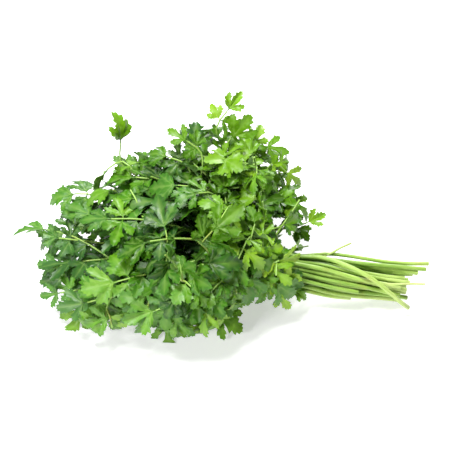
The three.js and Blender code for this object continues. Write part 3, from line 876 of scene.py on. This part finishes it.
def finely(points, step):
    """A line's points, with more between them, about a step apart."""
    out = []
    for a, b in zip(points, points[1:]):
        n = max(1, round(float(np.linalg.norm(b - a)) / step))
        out += [mixed(a, b, m / n) for m in range(n)]
    return [*out, points[-1]]


def inside(points, loop):
    """Which points lie inside a closed loop, by counting how often the loop passes to their right."""
    a, b = loop, np.roll(loop, -1, 0)
    x, y = points[:, :1], points[:, 1:]
    passes = (a[:, 1] > y) != (b[:, 1] > y)
    with np.errstate(divide="ignore", invalid="ignore"):
        at = a[:, 0] + (y - a[:, 1]) * (b[:, 0] - a[:, 0]) / (b[:, 1] - a[:, 1])
    return np.sum(passes & (x < at), axis=1) % 2 == 1


def inside_any(points, loops):
    return np.any([inside(points, loop) for loop in loops], axis=0)


def distance_to(points, line):
    """How far each point is from a line of points."""
    a, b = line[:-1], line[1:]
    run = b - a
    t = np.sum((points[:, None] - a) * run, -1) / np.sum(run * run, -1)
    near = a + np.clip(t, 0, 1)[..., None] * run
    return np.min(np.linalg.norm(points[:, None] - near, axis=-1), axis=1)


def blade_plan(d, fine):
    """A blade's flat mesh: its points, triangles, open edges, and how strongly each point is on a vein."""
    lobes = blade_lobes(d, fine)
    step = MESH_STEP[fine]
    loops = [outline for outline, _ in lobes]
    veins = [vein for _, lobe_veins in lobes for vein in lobe_veins]
    points, edges, outlines = [], [], []
    for loop in loops:
        outlines.append(list(range(len(points), len(points) + len(loop))))
        points += list(loop)
    for line, _ in veins:
        edges += [(k, k + 1) for k in range(len(points), len(points) + len(line) - 1)]
        points += line
    us, vs = np.meshgrid(np.arange(0.15, 1, step), np.arange(-0.5, 0.51, step * 0.87))
    us = us + (np.arange(len(us)) % 2)[:, None] * step / 2
    grid = np.stack([us.ravel(), vs.ravel()], -1)
    grid = grid + np.array([(d.about(0, 0.012), d.about(0, 0.012)) for _ in grid])
    room = inside_any(grid, loops)
    closed = [[*loop, loop[0]] for loop in loops]
    for line in [*closed, *(line for line, _ in veins)]:
        room &= distance_to(grid, np.array(line)) > 0.3 * step
    points += list(grid[room])
    made = delaunay_2d_cdt([Vector(p) for p in points], edges, outlines, 1, 1e-5)
    verts = np.array([tuple(v) for v in made[0]])
    faces = np.array([f for f in made[2] if len(f) == 3])
    faces = faces[inside_any(verts[faces].mean(1), loops)]
    used, faces = np.unique(faces, return_inverse=True)
    verts, faces = verts[used], faces.reshape(-1, 3)
    a, b, c = (verts[faces[:, k]] for k in range(3))
    area = (b[:, 0] - a[:, 0]) * (c[:, 1] - a[:, 1]) - (b[:, 1] - a[:, 1]) * (c[:, 0] - a[:, 0])
    faces[area < 0] = faces[area < 0][:, ::-1]
    strength = np.zeros(len(verts))
    for line, amount in veins:
        line = np.array(line)
        fading = amount * (1 - 0.35 * np.clip(verts[:, 0] - line[0, 0], 0, 1))
        strength = np.maximum(strength, np.where(distance_to(verts, line) < 0.004, fading, 0))
    return SimpleNamespace(points=verts, faces=faces, rim=rim_of(faces), vein=strength)


def rim_of(faces):
    """The open edges of a flat mesh, each as [from, to] in the order its triangle has them."""
    sides = np.concatenate([faces[:, [0, 1]], faces[:, [1, 2]], faces[:, [2, 0]]])
    twins = {(b, a) for a, b in sides.tolist()}
    return np.array([side for side in sides.tolist() if tuple(side) not in twins])


plan_dice = Dice(5501)
plans = {fine: [blade_plan(plan_dice, fine) for _ in range(BLADE_PLANS)] for fine in (True, False)}

SOFT_FOLD = 0.02
LOBES_MEET = 0.17
TABLE_BEND = 1.3
LOBE_ANGLE = radians(46)


def from_rib(v):
    """How far v is from the rib, with a round bottom to the valley."""
    return np.sqrt(v * v + SOFT_FOLD**2) - SOFT_FOLD


def blade_lift(leaf, look, u, v):
    """How far a blade's surface rises, as a share of its length: the solid's form and its own finer one."""
    lift = leaf.fold * from_rib(v) - leaf.droop * u * u + leaf.skew * u * v
    # Each lobe is creased along its axis, and its tip curls.
    from_foot = np.hypot(u - LOBES_MEET, v)
    heading = np.arctan2(v, u - LOBES_MEET)
    lift = lift - look["pleat"] * from_foot * np.cos(2 * pi * heading / LOBE_ANGLE)
    lift = lift - look["curl"] * np.maximum(from_foot - 0.3, 0) ** 2
    wave = np.sin(2 * pi * (look["beats"] * u + 1.1 * v) + look["phase"])
    wave = wave + 0.7 * np.sin(2 * pi * (0.9 * u - 2.3 * v) + 1.7 * look["phase"])
    return lift + look["wave"] * wave * np.minimum(1, 3.2 * np.abs(v) + 0.25) * np.minimum(1, 3 * u)


def above_table(points, clearance):
    """Nothing reaches below the table: what would is laid flat on it, over a smooth bend."""
    above = points[..., 2] - TABLE_BEND - clearance
    laid_flat = clearance + TABLE_BEND * np.exp(np.minimum(above, 0) / TABLE_BEND)
    points[..., 2] = np.where(above < 0, laid_flat, points[..., 2])
    return points


# ---- pieces

LEAF, STALK = 0, 1  # which of a piece's two materials a face has
TABLE_GAP = 0.03
SHARP_EDGE = radians(52)


class Piece:
    """Gathers the parts of one leafy stem, then makes its mesh."""

    def __init__(self):
        self.points, self.faces, self.materials, self.count = [], [], [], 0
        self.values = {"tone": [], "vein": [], "under": [], "grain": []}

    def add(self, points, faces, material, **values):
        self.points.append(points)
        self.faces.append(faces + self.count)
        self.materials.append(np.full(len(faces), material))
        for key, held in self.values.items():
            shape = (len(points), 3) if key == "grain" else len(points)
            held.append(np.broadcast_to(values.get(key, 0), shape))
        self.count += len(points)

    def object(self, name, materials):
        points = (np.concatenate(self.points) - MIDDLE) / 1000
        faces = np.concatenate(self.faces)
        mesh = bpy.data.meshes.new(name)
        mesh.vertices.add(len(points))
        mesh.loops.add(faces.size)
        mesh.polygons.add(len(faces))
        for part, field, values, kind in [
            (mesh.vertices, "co", points, np.float32),
            (mesh.loops, "vertex_index", faces, np.int32),
            (mesh.polygons, "loop_start", np.arange(0, faces.size, 3), np.int32),
            (mesh.polygons, "material_index", np.concatenate(self.materials), np.int32),
        ]:
            part.foreach_set(field, values.astype(kind).ravel())
        mesh.update(calc_edges=True)
        for key, held in self.values.items():
            kind = "FLOAT_VECTOR" if key == "grain" else "FLOAT"
            field = "vector" if key == "grain" else "value"
            made = mesh.attributes.new(key, kind, "POINT")
            made.data.foreach_set(field, np.concatenate(held).astype(np.float32).ravel())
        mesh.shade_smooth()
        mesh.set_sharp_from_angle(angle=SHARP_EDGE)
        for material in materials:
            mesh.materials.append(material)
        made = bpy.data.objects.new(name, mesh)
        bpy.context.scene.collection.objects.link(made)
        return made


BLADE_HALF_THICKNESS = 0.16
BLADE_CLEARANCE = 0.35
VEIN_SINK = 0.006  # how far a vein lies below the blade's upper side, as a share of its length
RIB_RIDGE, RIB_HALF = 0.42, 0.013  # how far the rib stands out of the underside at the foot, and its width
CLOSING = 0.8  # how far the leaflets furthest out of the head are closed along their rib
CLOSING_FROM, CLOSING_OVER = 1.2, 0.2


def add_blade(piece, leaf, d):
    fine = depth_at(leaf_points(leaf, np.array(RIB_POINT[0]), np.array(RIB_POINT[1]))) > PLAIN_DEPTH
    plan = plans[bool(fine)][int(d.roll() * BLADE_PLANS)]
    mirror = 1 if d.roll() < 0.5 else -1
    look = {
        "pleat": d.about(0.05, 0.06),
        "curl": d.about(0.5, 0.8),
        "beats": d.between(1.2, 2.4),
        "phase": d.between(0, 6.28),
        "wave": d.between(0.008, 0.022),
    }
    u, v = plan.points[:, 0], plan.points[:, 1] * mirror
    size = leaf.length
    normal = leaf.normal
    # A leaflet that stands clear of the head is partly closed, the less so the more it faces along the bunch.
    out = (float(depth_at(leaf.base)) - CLOSING_FROM) / CLOSING_OVER
    closing = CLOSING * min(1.0, max(0.0, out))
    closing *= max(0.0, 1 - 1.6 * abs(normal[0]))
    lift = blade_lift(leaf, look, u, v) - VEIN_SINK * plan.vein
    lift = lift + sin(closing) * from_rib(v)
    middle = leaf.base + np.outer(u * size, leaf.along)
    middle = middle + np.outer(cos(closing) * v * size, leaf.across)
    middle = above_table(middle + np.outer(lift * size, normal), BLADE_CLEARANCE)
    ridge = RIB_RIDGE * np.exp(-((v / RIB_HALF) ** 2)) * (1 - u) ** 1.5
    upper = middle + normal * BLADE_HALF_THICKNESS
    under = middle - np.outer(BLADE_HALF_THICKNESS + ridge, normal)
    under[:, 2] = np.maximum(under[:, 2], TABLE_GAP)
    n = len(u)
    faces, rim = plan.faces, plan.rim
    if mirror < 0:
        faces, rim = faces[:, ::-1], rim[:, ::-1]
    a, b = rim.T
    sides = np.concatenate([np.stack([a, a + n, b + n], -1), np.stack([a, b + n, b], -1)])
    faces = np.concatenate([faces, faces[:, ::-1] + n, sides])
    tone = blade_tone_with_painted_light(leaf, d)
    piece.add(
        np.concatenate([upper, under]),
        faces,
        LEAF,
        tone=tone,
        vein=np.tile(plan.vein, 2),
        under=np.repeat((0.0, 1.0), n),
        grain=np.tile(np.stack([u, v, np.full(n, tone)], -1), (2, 1)),
    )


# How pale a leaflet is, from 0 to 1: what most are, and how much it varies from one to the next.
USUAL_TONE, TONE_SPREADS = 0.37, (0.24, 0.14)
# Painted shade darkens the leaflets deep in the head, and painted light makes those standing out of it paler.
PAINTED_SHADE_DEPTH, PAINTED_LIGHT_DEPTH = 0.85, 1.08  # leaflets deeper than this are darker, and those further out paler
MOST_PALER = 0.2
DARKEST_X = -35
# Patches that are darker or paler: x and z of each one's middle, and by how much there.
# The two darker ones are painted shade round the hollows in the front.
PATCHES = [(-33, 102, -0.4), (-112, 72, -0.3), (-30, 130, 0.2), (-62, 58, 0.15), (-108, 18, 0.25)]
PATCHES += [(0, 28, 0.2), (30, 75, 0.12)]
PATCH_SPREAD = 18


def blade_tone_with_painted_light(leaf, d):
    """0 for a dark leaflet to 1 for a pale one: paler at the head's ends and low down, with painted shade and
    light.
    """
    x, _, z = leaf.base
    depth = min(2.0, float(depth_at(leaf.base)))
    ahead = x - DARKEST_X
    # Painted shade: darker deep in the head.
    bright = USUAL_TONE + 0.0016 * abs(ahead) - 0.0008 * (z - 60) - 0.9 * max(0.0, PAINTED_SHADE_DEPTH - depth)
    bright += 0.0012 * max(0, ahead) + 0.0022 * max(0, 45 - z)
    # Painted light: paler the further out of the head.
    bright += min(MOST_PALER, max(0.0, depth - PAINTED_LIGHT_DEPTH))
    # The darker patches are painted shade round the hollows.
    for patch_x, patch_z, change in PATCHES:
        bright += change * exp(-((x - patch_x) ** 2 + (z - patch_z) ** 2) / (2 * PATCH_SPREAD**2))
    for spread in TONE_SPREADS:
        bright += d.about(0, spread)
    return min(1.0, max(0.0, bright))


CUT_BEVEL = 0.3
CUT_INSET = 0.75  # the radius at which a cut end starts to sink, as a share of the stalk's
BEND, BEND_LENGTH = 1.0, 16
BUNDLE_ROWS, FREE_ROWS, END_ROWS, BRANCH_ROWS = 15, 24, 12, 9  # the points of a stalk's path, on each part
TIP_RADII = (0.8, 0.62, 0.58)  # before the end sprig's joint, beyond it, and at the end leaflet
BRANCH_RADII, BRANCH_TONES = (0.8, 0.6), (0.75, 1)
SWELLING, SWELLING_LENGTH = 0.3, 0.09  # how much thicker a branch is at its root
BARE_RADII, BARE_TONE = (1.05, 0.8), 0.03
GRAIN_LENGTH = 60


def add_stalk(piece, path, radii, sides, ribs, tone):
    """A round ribbed stalk along a path, its ends closed. The first is cut: bevelled, and sunk a little."""
    path, radii = np.array(path), np.array(radii)
    path[:, 2] = np.maximum(path[:, 2], radii + TABLE_GAP)
    count = len(path)
    tangents = np.gradient(path, axis=0)
    tangents /= np.linalg.norm(tangents, axis=1)[:, None]
    side = unit(cross(UP, tangents[0]))
    angles = np.arange(sides) * 2 * pi / sides
    wave = 1 + ribs * np.cos(angles * sides / 2)
    rows = []
    for at, tangent, radius in zip(path, tangents, radii):
        side = unit(side - tangent * dot(side, tangent))
        top = cross(tangent, side)
        ring = np.outer(np.cos(angles) * wave, side) + np.outer(np.sin(angles) * wave, top)
        rows.append(at + ring * radius)
    inner = path[0] + (rows[0] - path[0]) * CUT_INSET + tangents[0] * CUT_BEVEL / 2
    points = np.concatenate([*rows, inner, [path[0] + tangents[0] * CUT_BEVEL, path[-1]]])
    # The points' numbers, a row for each ring. The last row is the cut end's inner ring.
    here = np.arange((count + 1) * sides).reshape(count + 1, sides)
    beside = np.roll(here, -1, 1)
    centre = np.full(sides, here.size)
    faces = [
        (here[:-2], beside[:-2], beside[1:-1]),
        (here[:-2], beside[1:-1], here[1:-1]),
        (beside[0], here[0], here[-1]),
        (beside[0], here[-1], beside[-1]),
        (beside[-1], here[-1], centre),
        (here[-2], beside[-2], centre + 1),
    ]
    travelled = np.concatenate([[0], np.cumsum(np.linalg.norm(np.diff(path, axis=0), axis=1))])
    travelled = travelled / GRAIN_LENGTH
    around = (np.tile(np.cos(angles), count), np.tile(np.sin(angles), count))
    grain = np.stack([*around, np.repeat(travelled, sides)], -1)
    grain = np.concatenate([grain, grain[:sides] * (0.7, 0.7, 1), [(0, 0, 0), (0, 0, travelled[-1])]])
    tones = np.concatenate([np.repeat(tone, sides), np.full(sides + 2, tone[0])])
    cut = np.repeat((0.6, 0.0, 1.0, 0.0), (sides, (count - 1) * sides, sides + 1, 1))
    faces = np.concatenate([np.stack(corners, -1).reshape(-1, 3) for corners in faces])
    piece.add(points, faces, STALK, tone=tones, vein=cut, grain=grain)


def ease(low, high, x):
    """From 0 at low to 1 at high, smoothly."""
    t = np.clip((x - low) / (high - low), 0, 1)
    return t * t * (3 - 2 * t)


def bend_at(x, index):
    """How far a stem bows from its even course through the bundle."""
    phase = index * GOLDEN_ANGLE
    wave = vec(0, sin(x / BEND_LENGTH + phase), sin(x / BEND_LENGTH + 2.3 * phase))
    return wave * BEND * ease(NECK[0], NECK[0] + 30, x)


def main_path(stem):
    """A stem's stalk from its cut end to its end leaflet: points, radii, and 0 to 1 from cut end to tip."""
    place, index = stem.place, stem.index
    xs = np.linspace(stem.cut_x, NECK[0], BUNDLE_ROWS)
    bundled = [bundle_point(x, place) + bend_at(x, index) for x in xs]
    bundled.insert(1, mixed(bundled[0], bundled[1], CUT_BEVEL / length_of(bundled[1] - bundled[0])))
    free = [stem.outer.at(t) for t in np.linspace(0, stem.fork - FORK_OVERLAP, FREE_ROWS)[1:]]
    end = stem.end
    beyond = [end.arch.at(t) for t in np.linspace(0, 1, END_ROWS)[1:]]
    tip = [mixed(end.line[2], end.line[4], t) for t in (0.4, 0.7, 1)]
    path = [*bundled, *free, *beyond, *tip]
    thinner = 0.25 * ease(0, 0.4, np.linspace(0, 1, len(beyond)))
    stages = [
        np.linspace(CUT_END_RADIUS, NECK_STALK_RADIUS, len(bundled)),
        np.linspace(NECK_STALK_RADIUS, FORK_RADIUS, len(free) + 1)[1:],
        np.linspace(FORK_RADIUS, TIP_RADII[0], len(beyond) + 1)[1:] - thinner,
        np.linspace(*TIP_RADII[1:], len(tip) + 1)[1:],
    ]
    radii = np.concatenate(stages) * stem.thickness
    radii[0] *= 0.9
    return path, radii, np.linspace(0, 1, len(path))


def branch_path(branch, bare):
    """The same for a branch. A bare side stalk is as pale as a cut end."""
    path = [branch.arch.at(t) for t in np.linspace(0, 1, BRANCH_ROWS)]
    path += [mixed(branch.line[2], branch.line[4], t) for t in (0.5, 1)]
    steps = np.linspace(0, 1, len(path))
    if bare:
        return path, mixed(*BARE_RADII, steps), np.full(len(path), BARE_TONE)
    swelling = SWELLING * np.exp(-((steps / SWELLING_LENGTH) ** 2))
    return path, mixed(*BRANCH_RADII, steps) + swelling, mixed(*BRANCH_TONES, steps)


# ---- materials


def colour(r, g, b):
    """A colour given in sRGB steps of 255."""
    steps = (r / 255, g / 255, b / 255)
    return (*[c / 12.92 if c <= 0.04045 else ((c + 0.055) / 1.055) ** 2.4 for c in steps], 1)


class Nodes:
    """A new material's nodes, with short ways to add to them."""

    def __init__(self, name, shown):
        self.material = bpy.data.materials.new(name)
        self.material.use_nodes = True
        self.material.diffuse_color = shown
        self.tree = self.material.node_tree
        self.tree.nodes.clear()
        self.place = self.add("TexCoord").outputs["Object"]

    def add(self, kind, **settings):
        """A node with its properties, and its inputs' values or links, each named in_NAME or in_NUMBER."""
        node = self.tree.nodes.new("ShaderNode" + kind)
        for key, value in settings.items():
            if not key.startswith("in_"):
                setattr(node, key, value)
                continue
            name = key[3:]
            socket = node.inputs[int(name) if name.isdigit() else name.replace("_", " ")]
            if isinstance(value, bpy.types.NodeSocket):
                self.tree.links.new(value, socket)
            else:
                socket.default_value = value
        return node

    def ramp(self, factor, *stops):
        node = self.add("ValToRGB", in_Fac=factor)
        elements = node.color_ramp.elements
        while len(elements) < len(stops):
            elements.new(0.5)
        for element, (position, shade) in zip(elements, stops):
            element.position, element.color = position, shade
        return node.outputs["Color"]

    def blend(self, factor, first, second):
        return self.add("Mix", data_type="RGBA", in_0=factor, in_6=first, in_7=second).outputs[2]

    def math(self, operation, *inputs, clamp=False):
        values = {f"in_{k}": value for k, value in enumerate((*inputs, 0.0)[:3])}
        return self.add("Math", operation=operation, use_clamp=clamp, **values).outputs[0]

    def plus(self, first, second):
        return self.math("ADD", first, second)

    def times(self, first, second):
        return self.math("MULTIPLY", first, second)

    def scaled(self, value, factor, shift, clamp=False):
        return self.math("MULTIPLY_ADD", value, factor, shift, clamp=clamp)

    def noise(self, vector, scale, detail=2.0, roughness=0.5):
        inputs = {"in_Vector": vector, "in_Scale": scale, "in_Detail": detail, "in_Roughness": roughness}
        return self.add("TexNoise", **inputs).outputs["Fac"]

    def attribute(self, name, output="Fac"):
        return self.add("Attribute", attribute_name=name).outputs[output]

    def bump(self, height, strength, distance):
        inputs = {"in_Height": height, "in_Strength": strength, "in_Distance": distance}
        return self.add("Bump", **inputs).outputs["Normal"]

    def principled(self, **inputs):
        return self.add("BsdfPrincipled", **inputs).outputs[0]

    def finished(self, surface):
        self.add("OutputMaterial", in_Surface=surface)
        return self.material


def leaf_material():
    m = Nodes("parsley_leaf", colour(96, 146, 52))
    tone, vein, under = (m.attribute(name) for name in ("tone", "vein", "under"))
    patches, mottle = m.noise(m.place, 95.0, 3.0, 0.6), m.noise(m.place, 620.0, 3.0, 0.65)
    # tone holds each leaflet's own paleness, with painted shade and light from where it lies in the head.
    shade = m.scaled(patches, 0.5, m.plus(tone, -0.25))
    shade = m.scaled(mottle, 0.16, m.plus(shade, -0.08), clamp=True)
    upper = m.ramp(
        shade,
        (0.0, colour(14, 66, 0)),
        (0.35, colour(64, 124, 2)),
        (0.65, colour(104, 158, 18)),
        (1.0, colour(166, 204, 48)),
    )
    # Painted sheen greys some sprigs, more towards the tips; painted light through the blade yellows some,
    # more on top.
    along_x, _, along_z = m.add("SeparateXYZ", in_Vector=m.place).outputs
    cast = m.scaled(m.noise(m.place, 17.0, 1.0), 1.7, -0.8)
    painted_sheen = m.scaled(along_x, -2.4, cast)
    painted_sheen = m.scaled(along_z, -3.0, m.plus(painted_sheen, 0.17), clamp=True)
    upper = m.blend(m.times(painted_sheen, 0.6), upper, colour(104, 152, 90))
    # Painted light shining through the blades, more of it on top.
    painted_light_through = m.scaled(cast, -0.7, m.times(along_x, 1.6))
    painted_light_through = m.scaled(along_z, 5.0, m.plus(painted_light_through, -0.36), clamp=True)
    upper = m.blend(m.times(painted_light_through, 0.6), upper, colour(146, 182, 14))
    lower = m.ramp(shade, (0.0, colour(84, 132, 58)), (1.0, colour(148, 188, 108)))
    line = m.math("POWER", vein, 3.0)
    upper = m.blend(m.times(line, 0.55), upper, colour(168, 204, 104))
    lower = m.blend(m.times(line, 0.6), lower, colour(190, 216, 150))
    body = m.blend(under, upper, lower)
    rough = m.scaled(mottle, 0.2, m.scaled(under, 0.16, 0.28))
    normal = m.bump(m.scaled(mottle, 0.7, m.times(line, -1.0)), 0.5, 0.0004)
    surface = m.principled(in_Base_Color=body, in_Roughness=rough, in_Normal=normal, in_IOR=1.45)
    glow = m.blend(0.55, body, colour(190, 226, 20))
    through = m.add("BsdfTranslucent", in_Color=glow).outputs[0]
    return m.finished(m.add("MixShader", in_0=0.3, in_1=surface, in_2=through).outputs[0])


def stalk_material():
    m = Nodes("parsley_stalk", colour(160, 195, 92))
    tone, cut = m.attribute("tone"), m.attribute("vein")
    fibres = m.noise(m.attribute("grain", "Vector"), 5.0, 3.0, 0.6)
    # Paler at the cut end, as the stalks are, and darkest where they go into the head, partly a painted shade
    # of the head.
    body = m.ramp(
        m.scaled(m.noise(m.place, 60.0), 0.14, m.plus(tone, -0.07)),
        (0.0, colour(186, 204, 122)),
        (0.1, colour(150, 184, 78)),
        (0.22, colour(98, 142, 34)),
        (0.45, colour(90, 138, 28)),
        (1.0, colour(136, 182, 74)),
    )
    streaks = m.ramp(fibres, (0.35, colour(86, 130, 26)), (0.62, colour(196, 218, 124)))
    body = m.blend(0.36, body, streaks)
    stains = m.ramp(m.noise(m.place, 42.0, 3.0, 0.6), (0.56, (0, 0, 0, 1)), (0.68, (0.5, 0.5, 0.5, 1)))
    body = m.blend(stains, body, colour(150, 142, 66))
    body = m.blend(m.times(cut, 0.75), body, colour(222, 230, 178))
    rough = m.scaled(fibres, 0.2, 0.3)
    normal = m.bump(fibres, 0.35, 0.0003)
    return m.finished(m.principled(in_Base_Color=body, in_Roughness=rough, in_Normal=normal, in_IOR=1.45))


# ---- the bunch

MAIN_SIDES, BRANCH_SIDES = 14, 7
MAIN_RIBS, BRANCH_RIBS = 0.045, 0.0
LOOK_SEED = 8837

materials = [leaf_material(), stalk_material()]
look_dice = Dice(LOOK_SEED)
for stem in stems:
    piece = Piece()
    path, radii, tone = main_path(stem)
    tone = np.maximum(tone + look_dice.about(0.02, 0.1), 0)
    add_stalk(piece, path, radii, MAIN_SIDES, MAIN_RIBS, tone)
    for branch in [*stem.branches, *stem.bare]:
        path, radii, tone = branch_path(branch, branch in stem.bare)
        add_stalk(piece, path, radii, BRANCH_SIDES, BRANCH_RIBS, tone)
    for leaf in stem.leaves:
        add_blade(piece, leaf, look_dice)
    node = f"leafy_stem_{stem.index:02d}"
    made = piece.object(f"parsley_{stem.index:02d}", materials)
    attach(made, "root")
    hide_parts(node)

# ---- floor, light and camera

FLOOR_SIZE = 12
FLOOR_GLOW = 0.5
SKY_STRENGTH = 0.14
LIT_POINT = Vector((0, 0, 0.05))
CAMERA_ELEVATION = radians(39)
CAMERA_DISTANCE = 1.3
CAMERA_LENS, CAMERA_SENSOR = 133.3, 36
CAMERA_TARGET = Vector((0.00123, 0.00014, 0.064))


def floor_material():
    shade = (0.7, 0.7, 0.7, 1)
    m = Nodes("floor", shade)
    tint = m.blend(m.noise(m.place, 4.0), shade, tuple(c * 0.985 for c in shade[:3]) + (1,))
    glow = {"in_Emission_Color": (1, 1, 1, 1), "in_Emission_Strength": FLOOR_GLOW}
    return m.finished(m.principled(in_Base_Color=tint, in_Roughness=0.9, **glow))


def area_light(name, place, size, power):
    light = bpy.data.lights.new(name, "AREA")
    light.shape, light.size, light.energy = "DISK", size, power
    made = bpy.data.objects.new(name, light)
    made.location = place
    made.rotation_euler = (LIT_POINT - made.location).to_track_quat("-Z", "Y").to_euler()
    bpy.context.scene.collection.objects.link(made)


half = FLOOR_SIZE / 2
corners = [(-half, -half, 0), (half, -half, 0), (half, half, 0), (-half, half, 0)]
floor_mesh = bpy.data.meshes.new("floor")
floor_mesh.from_pydata(corners, [], [(0, 1, 2, 3)])
floor_mesh.materials.append(floor_material())
floor = bpy.data.objects.new("floor", floor_mesh)
bpy.context.scene.collection.objects.link(floor)

world = bpy.data.worlds.new("studio")
world.use_nodes = True
sky = world.node_tree.nodes["Background"].inputs
sky["Color"].default_value, sky["Strength"].default_value = (1, 1, 1, 1), SKY_STRENGTH
bpy.context.scene.world = world
area_light("key", (-0.35, -0.25, 1.65), 0.5, 42)
area_light("front", (-1.0, -1.35, 0.95), 0.25, 21)
area_light("back", (0.35, 1.15, 1.0), 0.5, 22)

camera = bpy.data.objects.new("camera", bpy.data.cameras.new("camera"))
camera.data.lens, camera.data.sensor_width = CAMERA_LENS, CAMERA_SENSOR
back = Vector((0, -cos(CAMERA_ELEVATION), sin(CAMERA_ELEVATION)))
camera.location = CAMERA_TARGET + back * CAMERA_DISTANCE
camera.rotation_euler = (-back).to_track_quat("-Z", "Y").to_euler()
camera.data.clip_start, camera.data.clip_end = 0.05, 50
bpy.context.scene.collection.objects.link(camera)
bpy.context.scene.camera = camera
bpy.context.scene.view_settings.view_transform = "Standard"
